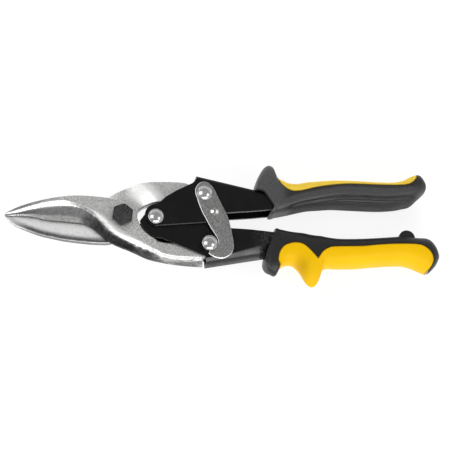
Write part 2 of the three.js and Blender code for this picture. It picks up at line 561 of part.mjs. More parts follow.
const snips = new THREE.Group();
snips.name = 'aviation_snips';
const outer = OUTER_WALL_OUT + 0.05;
const inner = INNER_WALL_OUT + 0.05;
snips.add(
  mesh('front_jaw', frontJaw(), 'forged'),
  mesh('back_jaw', backJaw(), 'forged'),
  mesh('pivot_bolt', pivotBolt(), 'bolt'),
  mesh('pivot_nut', pivotNut(), 'bolt'),
  mesh('upper_handle', upperHandle(), 'enamel'),
  mesh('lower_handle', lowerHandle(), 'enamel'),
  mesh('handle_rivet', rivet(HANDLE_PIVOT, outer, outer), 'plated'),
  mesh('upper_tang_rivet', rivet(UPPER_TANG, outer, LATCH_Z1 + 0.08), 'plated'),
  mesh('lower_tang_rivet', rivet(LOWER_TANG, inner, LATCH_Z1 + 0.25, [[RIVET_R, inner], [4.1, inner], [4.1, LATCH_Z0 - 0.3], [NECK_R, LATCH_Z0 - 0.3]]), 'plated'),
  mesh('latch', latchPlate(), 'latch'),
  mesh('latch_washer', latchWasher(), 'plated'),
  mesh('opening_spring', openingSpring(), 'spring'),
  mesh('upper_grip', upperGrip(), 'rubber'),
  mesh('upper_grip_inlay', upperInlay(), 'yellow'),
  mesh('lower_grip', lowerGrip(), 'rubber'),
  mesh('lower_grip_inlay', lowerInlay(), 'yellow'),
  mesh('closing_bumper', bumperShape(0), 'rubber'),
);

export default snips;
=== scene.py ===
import math
import bpy
import bmesh
import numpy as np
from mathutils import Matrix, Vector


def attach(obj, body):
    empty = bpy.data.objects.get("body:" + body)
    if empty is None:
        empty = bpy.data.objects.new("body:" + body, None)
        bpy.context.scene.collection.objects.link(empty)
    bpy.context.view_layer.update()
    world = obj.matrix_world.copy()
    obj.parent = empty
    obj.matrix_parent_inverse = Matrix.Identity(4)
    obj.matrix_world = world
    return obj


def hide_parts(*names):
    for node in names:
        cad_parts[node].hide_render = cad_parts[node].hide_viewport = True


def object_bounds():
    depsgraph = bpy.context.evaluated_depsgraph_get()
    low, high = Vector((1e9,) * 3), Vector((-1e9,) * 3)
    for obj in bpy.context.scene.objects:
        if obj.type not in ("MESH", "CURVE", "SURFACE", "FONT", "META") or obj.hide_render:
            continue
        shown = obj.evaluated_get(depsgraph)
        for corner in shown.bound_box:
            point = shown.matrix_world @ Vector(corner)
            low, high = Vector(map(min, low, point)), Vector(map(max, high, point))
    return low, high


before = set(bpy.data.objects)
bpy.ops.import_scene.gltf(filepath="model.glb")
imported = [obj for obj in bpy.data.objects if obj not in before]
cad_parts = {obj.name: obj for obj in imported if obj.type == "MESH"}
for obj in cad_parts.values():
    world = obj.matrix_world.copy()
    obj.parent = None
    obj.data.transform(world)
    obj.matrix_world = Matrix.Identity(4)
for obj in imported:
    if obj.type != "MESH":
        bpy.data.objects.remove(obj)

CAD_BOX = [list(v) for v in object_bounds()]
MM = 0.001

# ------------------------------------------------------------------ design numbers, in mm
JAW_PIVOT = (0.0, 0.0)
HANDLE_PIVOT = (19.0, -1.2)
UPPER_TANG = (47.5, 12.5)
LOWER_TANG = (49.0, -18.0)
JAW_FACE = 5.4
TANG = 3.6
GAP = 0.1
IN_WALL_IN, IN_WALL_OUT = 3.8, 5.3
OUT_WALL_IN, OUT_WALL_OUT = 5.6, 7.2
BOSS = 5.3
LATCH_Z0, LATCH_Z1 = 7.6, 9.2
DROP = JAW_FACE + 0.05 + 4.0  # heights below are from the lap face; the origin is the top of the bolt head
FOLD = 3.0
HEAD_R = 4.45

FRONT_TOP = [
    (-66.2, 2.9), (-63.2, 4.3), (-60.2, 5.7),
    (-56.2, 7.1), (-51, 8.6), (-45, 10),
    (-39, 11.1), (-33, 11.9), (-27.5, 12.2),
    (-21.6, 12.2), (-16, 11.8), (-11, 11.3),
    (-6, 10.5), (-2, 9.5), (1.5, 7.8),
    (4.2, 5.5), (6.3, 3), (7.8, 0.5),
    (9, -2.8), (10.4, -6.3), (12.5, -9.3),
    (16.2, -12.5), (21, -14.9), (27, -15.8),
    (33, -15.4), (39, -14),
]
FRONT_CREST = [
    (-66.25, 2.6), (-62.9, 3.2), (-59.9, 4),
    (-56, 5.1), (-51, 6.6), (-45, 8.3),
    (-39, 9.1), (-33, 9.2), (-28, 7.9),
    (-22.5, 5.8), (-18.6, 3.6), (-15, 1.1),
    (-11.6, -1.2), (-8.9, -4.3), (-6.1, -7.3),
    (-3.1, -9.7), (-0.3, -11.5), (2.8, -12.9),
    (6, -14.3), (9.5, -15.9), (12.9, -17.6),
    (16.4, -19.4), (22.1, -22), (28, -23.4),
    (36, -24.2), (45.4, -24.5),
]
FRONT_FOOT = [
    (-66.3, 2.25), (-62.7, 2.5), (-59.6, 2.9),
    (-55.8, 3.6), (-50.6, 4.6), (-44.6, 5.5),
    (-38.6, 6.1), (-32.6, 6.5), (-27, 6.1),
    (-22.2, 5), (-18.6, 2.9), (-15.2, 0.1),
    (-12.2, -2.7), (-9.7, -5.7), (-6.8, -8.9),
    (-3.6, -11.4), (-0.5, -13.2), (2.5, -14.8),
    (5.6, -16.3), (9.1, -18), (12.6, -19.6),
    (16.5, -21.2), (22.2, -23.6), (28.2, -25.1),
    (36.2, -25.7), (45.5, -25.8),
]
FRONT_EDGE = [
    (-66.35, 1.3), (-62.5, 1), (-59, 0.8),
    (-55, 0.5), (-50, -0.2), (-44, -1.7),
    (-38, -2.4), (-32, -2.9), (-26.8, -3.5),
    (-21.7, -4.2), (-18.2, -5.8), (-14.9, -8.4),
    (-11.5, -11.5), (-8.4, -14.1), (-5, -16.1),
    (-1.4, -17.8), (2, -19.3), (5.3, -20.7),
    (8.7, -21.8), (12.1, -22.9), (15.5, -24),
    (19.6, -25.1), (25.7, -26.4), (32.6, -27.4),
    (39.5, -28.1), (45.6, -28.5),
]
SPINE_Z = [1.3, 2.0, 2.6, 3.2, 3.8, 4.4, 4.9, 5.2, 5.4]
FOOT_Z = [1.1, 1.4, 1.7, 2.1, 2.4, 2.7, 2.9, 3.0, 3.2, 3.4, 3.5, 3.6, 3.6]
BACK_EDGE = [
    (-66.6, 2.4), (-63, 2.8), (-60, 2.8),
    (-56, 2.7), (-51, 2.1), (-45, 0.8),
    (-39, 0), (-33, -0.5), (-27, -1),
    (-21.5, -0.8), (-17.5, 2.6), (-13.5, 7),
    (-10, 10.6), (-6.8, 13.1), (-3.5, 15),
    (-0.2, 16.6), (3.2, 17.8), (6.7, 18.8),
    (10.2, 20), (13.6, 20.7), (17.2, 21.1),
    (22, 21.2), (27.5, 21.2), (33, 21),
    (38, 20.4),
]
BACK_SPINE = [
    (-66.7, 0.9), (-63.6, -2.1), (-60.4, -4.5),
    (-56.8, -6), (-52, -7.9), (-46, -10),
    (-40, -11.4), (-34, -12.7), (-28, -13.6),
    (-22, -14.3), (-17, -14.8), (-12, -15),
    (-7.5, -14.9), (-3.5, -13.6), (0, -11.6),
    (3, -9.2), (5.6, -6.4), (7.6, -3.2),
    (8.9, 0), (9.2, 2.9), (10.8, 5.6),
    (14.4, 7.8), (19.2, 8.7), (25.5, 8.9),
    (32, 8.2),
]
UPPER_NOSE = (19.2, -0.2, 6.4)
UPPER_TOP = [(25, 10.6), (31.2, 14.4), (38.3, 17.9), (41.2, 19.4), (43.6, 22.2), (43.6, 32), (90, 24), (104, 15), (104, 8.2)]
UPPER_LOW = [(96, 5.2), (88, 3.3), (83, 2.8), (74.8, 2.05), (60.8, 1.15), (56.7, 0.6), (53.6, -1.6), (50.8, -4), (47.2, -4.6), (32, -5.6)]
UPPER_WEB = (43.4, 24.25, -0.25)
LOWER_NOSE = (19.0, -1.2, 9.2)
LOWER_CROWN = (19.0, -1.2, 6.5)
LOWER_SHOULDER = (11.45, -1.2)
LOWER_LOW = [
    (12.3, -8), (15.2, -11.3), (18.6, -12.8), (22.3, -13.4), (24.3, -14.3), (35, -19), (46.6, -24.2), (47.15, -25.2),
    (47.15, -36), (85.4, -30), (85.8, -16.3), (110, -16.0),
]
LOWER_TOP = [(110, -12.6), (98, -11.7), (88, -10.2), (81, -9.3), (74, -8.5), (69, -8.1), (60.6, -7.6), (30, 4)]
LOWER_WEB = (47.6, -29.4, 0.155)
LATCH_SIDE = [
    (53.82, -15.6), (51.9, -11.9), (49.6, -7.9), (47.6, -3.6), (45.9, 0), (44.2, 4.6), (42.9, 9.2), (42.2, 12.2),
    (42.3, 15.2), (43.8, 17.7), (45.6, 19), (47.6, 19.4), (49.6, 18.8), (51.6, 17.2), (53.5, 14.1), (56.6, 6.7),
    (59.8, -0.6), (61.2, -6), (62.2, -12), (62.9, -18.6), (62.3, -22.4), (60.6, -24.9), (58.2, -26.4), (55.6, -27.1),
    (52.4, -26.6), (50.0, -25.5), (48.1, -24.0),
]
LATCH_NOTCH = [(50.25, -19.98), (52.3, -19.76), (53.25, -19.37), (53.87, -18.46), (53.9, -17.05)]
DIMPLE = (52.7, 1.2, 2.9, 0.9)
UPPER_GRIP = [
    (77.8, 8, 18.2, 8.6, 4, 3), (80, 6, 24, 9, 4, 2.6), (83.4, 2.6, 29.7, 9.2, 4, 2.2),
    (86, 1.5, 32.1, 9.3, 4, 2), (88, 1.3, 32.2, 9.4, 4, 2), (89.6, 1.6, 30.6, 9.5, 4, 2.1),
    (91.2, 2, 24.8, 9.6, 4, 2.4), (93.5, 2.4, 22.9, 9.8, 3.6, 2.5), (98, 3.3, 20.6, 10, 3.2, 2.5),
    (103, 4.5, 20.2, 10.2, 3, 2.5), (109, 5.7, 21.1, 10.6, 2.8, 2.5), (116, 6.2, 21.6, 11, 2.6, 2.5),
    (124, 6.6, 22.1, 11.2, 2.5, 2.5), (136, 6.1, 21.9, 11.4, 2.5, 2.5), (150, 5.5, 21.1, 11.2, 2.5, 2.5),
    (160, 5.9, 21, 11, 2.5, 2.5), (166, 6.9, 22.3, 10.8, 2.5, 2.5), (170.5, 8, 24.6, 10.6, 2.5, 2.5),
    (174.5, 11.2, 25.9, 10.2, 2.4, 2.4), (176.8, 13.2, 25.1, 9.2, 2.3, 2.3), (179, 15.2, 21.6, 7, 2.2, 2.2),
    (179.9, 16.6, 18.9, 3.5, 2, 2),
]
UPPER_MOUTH = [(70, 15.4), (78.3, 15), (81.9, 14.2), (85.4, 9.3), (87.6, 5.4), (87.3, 3.4), (85.4, 1.4), (84.6, -8), (70, -8)]
UPPER_SHELL = [
    (91.7, 20.4), (92.8, 18), (95.3, 15.4), (97.6, 14), (100.1, 13.4), (105.4, 13.9), (111, 15.2),
    (118, 16.4), (126, 17.3), (133.6, 17.7), (149.1, 17.4), (162.8, 17.2), (167, 17.6), (169.8, 18.6), (172.4, 20.8),
    (173.8, 23.4), (174.6, 27),
]
LOWER_GRIP = [
    (79.6, -29.4, -18, 6.5, 3, 4), (81.8, -31.8, -14, 7.2, 2.6, 4), (84.4, -33.3, -10, 7.8, 2.4, 4),
    (86.4, -34.4, -8.4, 8.2, 2.3, 4), (88.2, -34, -7.9, 8.5, 2.4, 4), (90, -31, -7.8, 8.8, 2.5, 3.6),
    (92.5, -29, -8.2, 9, 2.5, 3.2), (96, -28.2, -9, 9.3, 2.5, 3), (99.2, -29.4, -9.4, 9.5, 2.4, 2.8),
    (102.4, -33.8, -9.6, 9.6, 2, 2.7), (104.6, -38.6, -9.7, 9.6, 1.8, 2.6), (106.4, -41, -10, 9.7, 1.7, 2.5),
    (108.3, -41.9, -10.4, 9.7, 1.7, 2.5), (110.6, -40.9, -10.9, 9.8, 1.7, 2.5), (113, -37, -11.3, 9.9, 1.8, 2.5),
    (115, -32, -11.7, 10, 2.2, 2.5), (118.5, -30.2, -12.6, 10.2, 2.4, 2.5), (125, -30.2, -13.6, 10.6, 2.5, 2.5),
    (135, -30, -13.8, 11, 2.5, 2.5), (145, -29.1, -13.5, 11.2, 2.5, 2.5), (155, -28.5, -12.9, 11.2, 2.5, 2.5),
    (163, -28.5, -12.4, 11, 2.5, 2.5), (169, -30.2, -13, 10.8, 2.5, 2.5), (173, -32.3, -13.2, 10.6, 2.4, 2.5),
    (177, -33.9, -13.2, 10, 2.3, 2.4), (180, -31.9, -14.6, 9, 2.2, 2.3), (182.6, -29, -18, 7, 2.1, 2.2),
    (184.3, -26, -22, 3.6, 2, 2),
]
LOWER_MOUTH = [
    (70, 2), (89, 2), (88.3, -8),
    (87.7, -10.3), (85.2, -15.8), (82.8, -20.9),
    (81.5, -25.2), (81.4, -28.2), (82.3, -31.2),
    (83.9, -33.3), (86, -35), (87, -42),
    (70, -42),
]
LOWER_SHELL = [
    (89.8, -29.6), (88.5, -28), (88.7, -24.9), (90.1, -21.6), (93, -18.9), (98.4, -17.6), (103.3, -18.6),
    (107.2, -22.1), (111.3, -27.2),
]
LOWER_SHELL_2 = [
    (111.3, -27.2), (114, -23.4), (117.5, -21.2), (121.6, -20.4), (137.1, -20.4), (149.6, -19.4), (162.1, -19),
    (170.4, -19.2), (174.4, -20.4), (178, -23.5), (179.6, -27.8), (178.4, -31.4), (176, -34),
]
BUMPER = (165.7, -13.7, 4.8, 5.2)
GROOVE = [(92, 3.4), (97.4, 4.6), (104.6, 6.6), (112.9, 8.1), (123.7, 9.9), (129.6, 10.4), (143.3, 10), (154.5, 9.4), (166.2, 10.2), (173.5, 11.4), (178, 13)]

# ------------------------------------------------------------------ small maths
def clamp(v, a=0.0, b=1.0):
    return max(a, min(b, v))

def smooth(a, b, v):
    t = clamp((v - a) / (b - a))
    return t * t * (3 - 2 * t)

def mix(a, b, t):
    return a + (b - a) * t

def spline(points, u):
    """Catmull-Rom through the points, u counted in points."""
    p = np.asarray(points, float)
    n = len(p)
    u = clamp(u, 0, n - 1)
    i = min(int(u), n - 2)
    t = u - i
    a, b, c, d = p[max(i - 1, 0)], p[i], p[i + 1], p[min(i + 2, n - 1)]
    return 0.5 * (2 * b + (c - a) * t + (2 * a - 5 * b + 4 * c - d) * t * t + (3 * b - a - 3 * c + d) * t ** 3)

def linear(values, u):
    u = clamp(u, 0, len(values) - 1)
    i = min(int(u), len(values) - 2)
    return mix(values[i], values[i + 1], u - i)

def dense(points, per=5, closed=False):
    """A smooth outline through the points, with per steps to each gap."""
    pts = [tuple(p) for p in points]
    out = []
    n = len(pts)
    gaps = n if closed else n - 1
    for i in range(gaps):
        if closed:
            a, b, c, d = (pts[(i + k - 1) % n] for k in range(4))
        else:
            a, b, c, d = pts[max(i - 1, 0)], pts[i], pts[i + 1], pts[min(i + 2, n - 1)]
        a, b, c, d = map(np.array, (a, b, c, d))
        for k in range(per):
            t = k / per
            out.append(tuple(0.5 * (2 * b + (c - a) * t + (2 * a - 5 * b + 4 * c - d) * t * t + (3 * b - a - 3 * c + d) * t ** 3)))
    if not closed:
        out.append(pts[-1])
    return out

def arc(x, y, r, a0, a1, n):
    return [(x + r * math.cos(math.radians(a0 + (a1 - a0) * i / n)), y + r * math.sin(math.radians(a0 + (a1 - a0) * i / n))) for i in range(n + 1)]

def grow(outline, amount):
    p = np.array(outline, float)
    area = np.sum(p[:, 0] * np.roll(p[:, 1], -1) - np.roll(p[:, 0], -1) * p[:, 1])
    s = 1 if area > 0 else -1
    d1 = p - np.roll(p, 1, 0)
    d2 = np.roll(p, -1, 0) - p
    d1 /= np.maximum(np.linalg.norm(d1, axis=1, keepdims=True), 1e-9)
    d2 /= np.maximum(np.linalg.norm(d2, axis=1, keepdims=True), 1e-9)
    n = np.stack([d1[:, 1] + d2[:, 1], -d1[:, 0] - d2[:, 0]], 1)
    n /= np.maximum(np.linalg.norm(n, axis=1, keepdims=True), 1e-9)
    k = np.maximum(0.5, n[:, 0] * d1[:, 1] - n[:, 1] * d1[:, 0])
    return [tuple(v) for v in p + s * amount * n / k[:, None]]

# ------------------------------------------------------------------ mesh makers
def new_object(name, verts, faces):
    me = bpy.data.meshes.new(name)
    me.from_pydata([(float(x) * MM, float(y) * MM, (float(z) - DROP) * MM) for x, y, z in verts], [], faces)
    me.validate()
    bm = bmesh.new()
    bm.from_mesh(me)
    bmesh.ops.remove_doubles(bm, verts=bm.verts, dist=1e-6)
    bmesh.ops.recalc_face_normals(bm, faces=bm.faces)
    bm.to_mesh(me)
    bm.free()
    ob = bpy.data.objects.new(name, me)
    bpy.context.scene.collection.objects.link(ob)
    return ob

def loft(name, loops, caps=(True, True)):
    m = len(loops[0])
    verts = [v for loop in loops for v in loop]
    faces = []
    for i in range(len(loops) - 1):
        for j in range(m):
            a, b = i * m + j, i * m + (j + 1) % m
            faces.append((a, b, b + m, a + m))
    if caps[0]:
        faces.append(tuple(range(m - 1, -1, -1)))
    if caps[1]:
        faces.append(tuple((len(loops) - 1) * m + j for j in range(m)))
    return new_object(name, verts, faces)

def prism(name, outline, z0, z1):
    n = len(outline)
    verts = [(x, y, z0) for x, y in outline] + [(x, y, z1) for x, y in outline]
    faces = [tuple(range(n - 1, -1, -1)), tuple(range(n, 2 * n))]
    faces += [(i, (i + 1) % n, n + (i + 1) % n, n + i) for i in range(n)]
    return new_object(name, verts, faces)

def lathe(name, profile, centre, segments=72, axis_angle=0.0):
    """profile: (r, z) pairs from the axis back to the axis."""
    x, y = centre
    verts, rings = [], []
    for r, z in profile:
        if r < 1e-6:
            rings.append([len(verts)])
            verts.append((x, y, z))
        else:
            rings.append(list(range(len(verts), len(verts) + segments)))
            verts += [(x + r * math.cos(2 * math.pi * k / segments), y + r * math.sin(2 * math.pi * k / segments), z) for k in range(segments)]
    faces = []
    for a, b in zip(rings, rings[1:]):
        for k in range(segments):
            k2 = (k + 1) % segments
            if len(a) == 1 and len(b) == 1:
                continue
            if len(a) == 1:
                faces.append((a[0], b[k2], b[k]))
            elif len(b) == 1:
                faces.append((a[k], a[k2], b[0]))
            else:
                faces.append((a[k], a[k2], b[k2], b[k]))
    return new_object(name, verts, faces)

def freeze(ob):
    """Applies the modifiers."""
    dg = bpy.context.evaluated_depsgraph_get()
    dg.update()
    me = bpy.data.meshes.new_from_object(ob.evaluated_get(dg))
    old = ob.data
    ob.modifiers.clear()
    ob.data = me
    bpy.data.meshes.remove(old)
    return ob

def boolean(ob, tool, op, keep=False):
    m = ob.modifiers.new("cut", "BOOLEAN")
    m.operation = op
    m.solver = "EXACT"
    m.object = tool
    freeze(ob)
    if not keep:
        bpy.data.objects.remove(tool)
    return ob

def tidy(ob, dist=1e-6):
    bm = bmesh.new()
    bm.from_mesh(ob.data)
    bmesh.ops.remove_doubles(bm, verts=bm.verts, dist=dist)
    bmesh.ops.dissolve_degenerate(bm, dist=dist, edges=bm.edges)
    loose = [v for v in bm.verts if not v.link_faces]
    bmesh.ops.delete(bm, geom=loose, context="VERTS")
    bmesh.ops.recalc_face_normals(bm, faces=bm.faces)
    bm.to_mesh(ob.data)
    bm.free()
    return ob

def bevel(ob, width, segments=3, angle=35.0):
    m = ob.modifiers.new("edge", "BEVEL")
    m.width = width * MM
    m.segments = segments
    m.limit_method = "ANGLE"
    m.angle_limit = math.radians(angle)
    m.use_clamp_overlap = True
    m.harden_normals = False
    m.miter_outer = "MITER_ARC"
    freeze(ob)
    return ob

def shade(ob, angle=40.0):
    for p in ob.data.polygons:
        p.use_smooth = True
    bm = bmesh.new()
    bm.from_mesh(ob.data)
    limit = math.radians(angle)
    for e in bm.edges:
        e.smooth = not (len(e.link_faces) == 2 and e.calc_face_angle(0.0) > limit)
    bm.to_mesh(ob.data)
    bm.free()
    return ob

def finish_piece(ob, body, nodes, material):
    ob.data.materials.clear()
    ob.data.materials.append(material)
    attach(ob, body)
    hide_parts(*nodes)
    return ob

def paint(ob, name, func):
    """A per-point float attribute from a function of the point, in mm."""
    att = ob.data.attributes.new(name, "FLOAT", "POINT")
    att.data.foreach_set("value", [float(func(v.co.x / MM, v.co.y / MM, v.co.z / MM + DROP)) for v in ob.data.vertices])

def mark(ob, name, func):
    """A per-face float attribute from a function of the face's centre (mm) and normal."""
    att = ob.data.attributes.new(name, "FLOAT", "FACE")
    att.data.foreach_set("value", [float(func(f.center.x / MM, f.center.y / MM, f.center.z / MM + DROP, f.normal)) for f in ob.data.polygons])

# ------------------------------------------------------------------ materials
class Nodes:
    def __init__(self, name):
        self.m = bpy.data.materials.new(name)
        self.m.use_nodes = True
        self.t = self.m.node_tree
        self.t.nodes.clear()
        self.out = self.add("ShaderNodeOutputMaterial")
        self.bsdf = self.add("ShaderNodeBsdfPrincipled")
        self.link(self.bsdf.outputs[0], self.out.inputs[0])
        self.coord = self.add("ShaderNodeTexCoord").outputs["Object"]

    def add(self, kind, **props):
        n = self.t.nodes.new(kind)
        for k, v in props.items():
            setattr(n, k, v)
        return n

    def link(self, a, b):
        self.t.links.new(a, b)

    def put(self, socket, value):
        if hasattr(value, "is_output") or isinstance(value, bpy.types.NodeSocket):
            self.link(value, socket)
        else:
            socket.default_value = value

    def stretch(self, scale, rot=(0, 0, 0)):
        n = self.add("ShaderNodeMapping")
        self.link(self.coord, n.inputs[0])
        n.inputs["Scale"].default_value = scale
        n.inputs["Rotation"].default_value = rot
        return n.outputs[0]

    def noise(self, scale, detail=4.0, rough=0.55, vector=None, distortion=0.0):
        n = self.add("ShaderNodeTexNoise")
        self.link(vector or self.coord, n.inputs["Vector"])
        n.inputs["Scale"].default_value = scale
        n.inputs["Detail"].default_value = detail
        n.inputs["Roughness"].default_value = rough
        n.inputs["Distortion"].default_value = distortion
        return n.outputs["Fac"]

    def cells(self, scale, feature="F1", vector=None):
        n = self.add("ShaderNodeTexVoronoi", feature=feature)
        self.link(vector or self.coord, n.inputs["Vector"])
        n.inputs["Scale"].default_value = scale
        return n.outputs["Distance"]

    def ramp(self, fac, lo, hi, a=0.0, b=1.0):
        n = self.add("ShaderNodeMapRange")
        n.interpolation_type = "SMOOTHSTEP"
        self.put(n.inputs["Value"], fac)
        n.inputs["From Min"].default_value = lo
        n.inputs["From Max"].default_value = hi
        n.inputs["To Min"].default_value = a
        n.inputs["To Max"].default_value = b
        return n.outputs["Result"]

    def colour(self, fac, a, b):
        n = self.add("ShaderNodeMix", data_type="RGBA")
        self.put(n.inputs[0], fac)
        for i, c in ((6, a), (7, b)):
            if isinstance(c, (tuple, list)):
                n.inputs[i].default_value = (*c, 1.0) if len(c) == 3 else c
            else:
                self.link(c, n.inputs[i])
        return n.outputs[2]

    def value(self, fac, a, b):
        n = self.add("ShaderNodeMix", data_type="FLOAT")
        self.put(n.inputs[0], fac)
        self.put(n.inputs[2], a)
        self.put(n.inputs[3], b)
        return n.outputs[0]

    def maths(self, op, a, b=0.0):
        n = self.add("ShaderNodeMath", operation=op)
        self.put(n.inputs[0], a)
        self.put(n.inputs[1], b)
        return n.outputs[0]

    def attribute(self, name):
        n = self.add("ShaderNodeAttribute", attribute_name=name)
        return n.outputs["Fac"]

    def edges(self, radius=0.35, lo=0.02, hi=0.35):
        """How sharply the surface turns here, from a rounded normal against the true one."""
        b = self.add("ShaderNodeBevel", samples=4)
        b.inputs["Radius"].default_value = radius * MM
        g = self.add("ShaderNodeNewGeometry")
        d = self.add("ShaderNodeVectorMath", operation="DOT_PRODUCT")
        self.link(b.outputs[0], d.inputs[0])
        self.link(g.outputs["Normal"], d.inputs[1])
        inv = self.maths("SUBTRACT", 1.0, d.outputs["Value"])
        return self.ramp(inv, lo, hi)

    def bump(self, *layers):
        """layers: (height, strength, distance in mm)"""
        last = None
        for height, strength, distance in layers:
            n = self.add("ShaderNodeBump")
            n.inputs["Strength"].default_value = strength
            n.inputs["Distance"].default_value = distance * MM
            self.link(height, n.inputs["Height"])
            if last:
                self.link(last, n.inputs["Normal"])
            last = n.outputs[0]
        self.link(last, self.bsdf.inputs["Normal"])

    def set(self, **values):
        for k, v in values.items():
            self.put(self.bsdf.inputs[k.replace("_", " ")], (*v, 1.0) if isinstance(v, tuple) and len(v) == 3 else v)
        return self.m

def forged_steel():
    n = Nodes("forged_steel")
    speck = n.noise(1050, 5, 0.72)
    grain = n.noise(650, 4, 0.6)
    cloud = n.noise(70, 3, 0.5)
    streak = n.noise(1, 3, 0.6, n.stretch((420, 260, 300)))
    dark = n.attribute("dark")
    ground = n.attribute("ground")
    face = n.colour(n.ramp(speck, 0.38, 0.62), (0.44, 0.437, 0.43), (0.80, 0.797, 0.79))
    face = n.colour(n.ramp(cloud, 0.3, 0.7, 0.0, 0.35), face, (0.57, 0.567, 0.56))
    polished = n.colour(n.ramp(n.noise(1100, 4, 0.7), 0.36, 0.6), (0.90, 0.90, 0.895), (0.995, 0.995, 0.99))
    base = n.colour(ground, face, polished)
    # painted shade: the dark attribute mixes in a dark reflection grey, and from 1 to 2 a near-black painted shadow
    shade_c = n.colour(n.ramp(grain, 0.3, 0.7), (0.085, 0.085, 0.088), (0.165, 0.165, 0.168))
    # painted highlight: where this attribute is set, the steel is painted near-white in place of lamp reflections
    painted_highlight = n.attribute("painted_highlight")
    base = n.colour(painted_highlight, base, n.colour(n.ramp(grain, 0.3, 0.7), (0.90, 0.90, 0.895), (0.97, 0.97, 0.965)))
    base = n.colour(dark, base, shade_c)
    base = n.colour(n.ramp(dark, 1.0, 2.0), base, n.colour(n.ramp(grain, 0.3, 0.7), (0.016, 0.016, 0.017), (0.04, 0.04, 0.042)))
    edge = n.edges(0.3, 0.03, 0.3)
    base = n.colour(n.maths("MULTIPLY", edge, 0.26), base, (0.86, 0.86, 0.85))
    # painted shadow: faces marked 'wall' are painted near-black
    base = n.colour(n.attribute("wall"), base, (0.012, 0.012, 0.0125))
    rough = n.value(ground, n.ramp(grain, 0.3, 0.7, 0.4, 0.5), n.ramp(grain, 0.3, 0.7, 0.42, 0.52))
    n.bump((speck, 0.22, 0.05), (n.maths("MULTIPLY", streak, ground), 0.03, 0.02))
    return n.set(Base_Color=base, Metallic=1.0, Roughness=rough)

def black_oxide():
    n = Nodes("black_oxide")
    grain = n.noise(900, 4, 0.6)
    cloud = n.noise(160, 3, 0.5)
    base = n.colour(n.ramp(grain, 0.35, 0.65), (0.012, 0.012, 0.013), (0.075, 0.074, 0.074))
    base = n.colour(n.ramp(cloud, 0.5, 0.75, 0.0, 0.5), base, (0.09, 0.088, 0.086))
    edge = n.edges(0.3, 0.03, 0.3)
    base = n.colour(n.maths("MULTIPLY", edge, 0.4), base, (0.16, 0.16, 0.165))
    # painted shade: faces marked 'side' are painted darker
    base = n.colour(n.attribute("side"), base, (0.006, 0.006, 0.0065))
    n.bump((grain, 0.3, 0.05))
    return n.set(Base_Color=base, Metallic=0.55, Roughness=n.ramp(grain, 0.2, 0.8, 0.36, 0.55))

def black_enamel(name="black_enamel", web=None, side=1):
    n = Nodes(name)
    peel = n.noise(420, 2, 0.5)
    dust_and_sheen = n.noise(2600, 2, 0.6)
    cloud = n.noise(60, 3, 0.5)
    base = n.colour(n.ramp(cloud, 0.3, 0.7), (0.0036, 0.0036, 0.0039), (0.006, 0.006, 0.0064))
    edge = n.edges(0.4, 0.02, 0.25)
    worn = n.maths("MULTIPLY", edge, n.ramp(n.noise(230, 4, 0.65), 0.35, 0.7))
    base = n.colour(n.maths("MULTIPLY", worn, 0.75), base, (0.10, 0.10, 0.104))
    # painted highlight: faces marked 'cut' are painted light grey where they face the front lamp
    cut = n.attribute("cut")
    base = n.colour(cut, base, n.colour(n.ramp(dust_and_sheen, 0.3, 0.7), (0.085, 0.085, 0.087), (0.15, 0.15, 0.152)))
    rough = n.ramp(n.noise(140, 4, 0.6), 0.3, 0.75, 0.22, 0.36)
    layers = [(peel, 0.06, 0.06), (dust_and_sheen, 0.08, 0.02)]
    shine = 0.17
    if web:  # the press bend carries on as a shallow curve in from the web
        x0, y0, slope = web
        length = math.hypot(1, slope)
        inward = (-slope / length * side, side / length, 0.0)
        split = n.add("ShaderNodeSeparateXYZ")
        n.link(n.coord, split.inputs[0])
        dot = n.add("ShaderNodeVectorMath", operation="DOT_PRODUCT")
        n.link(n.coord, dot.inputs[0])
        dot.inputs[1].default_value = inward
        u = n.maths("SUBTRACT", dot.outputs["Value"], (x0 * inward[0] + y0 * inward[1]) * MM)
        reach = n.ramp(split.outputs["X"], 56 * MM, 84 * MM, 4.6 * MM, 7.4 * MM)
        t = n.maths("DIVIDE", u, reach)
        slope_band = n.maths("MULTIPLY", n.ramp(t, 0.72, 1.02, 1.0, 0.0), n.ramp(t, 0.0, 0.08))
        height = n.maths("MULTIPLY", n.maths("MINIMUM", t, 0.86), n.maths("MULTIPLY", reach, 0.72))
        layers.append((height, 1.0, 1000.0))
        # painted sheen: a lighter grey, broken up by noise, near the grip end of the lower channel
        near = n.ramp(split.outputs["X"], 72 * MM, 85 * MM)
        painted_sheen = n.maths("MULTIPLY", near, n.ramp(n.noise(900, 4, 0.7), 0.42, 0.7))
        base = n.colour(n.maths("MULTIPLY", painted_sheen, 0.8), base, (0.08, 0.08, 0.082))
        shine = n.value(slope_band, 0.17, 0.48)
    n.bump(*layers)
    return n.set(Base_Color=base, Metallic=0.0, Roughness=rough, Specular_IOR_Level=shine)

def plated(name="plated_rivet", centre=(0, 0)):
    n = Nodes(name)
    scratch = n.noise(900, 4, 0.6)
    rings = n.add("ShaderNodeTexWave", wave_type="RINGS", rings_direction="Z", bands_direction="X")
    m = n.add("ShaderNodeMapping")
    n.link(n.coord, m.inputs[0])
    m.inputs["Location"].default_value = (-centre[0] * MM, -centre[1] * MM, 0)
    n.link(m.outputs[0], rings.inputs["Vector"])
    rings.inputs["Scale"].default_value = 700
    rings.inputs["Distortion"].default_value = 0.8
    rings.inputs["Detail"].default_value = 2
    base = n.colour(n.ramp(scratch, 0.35, 0.75), (0.42, 0.42, 0.42), (0.6, 0.6, 0.595))
    n.bump((rings.outputs["Fac"], 0.03, 0.01), (scratch, 0.05, 0.01))
    return n.set(Base_Color=base, Metallic=1.0, Roughness=n.ramp(scratch, 0.3, 0.7, 0.12, 0.2))

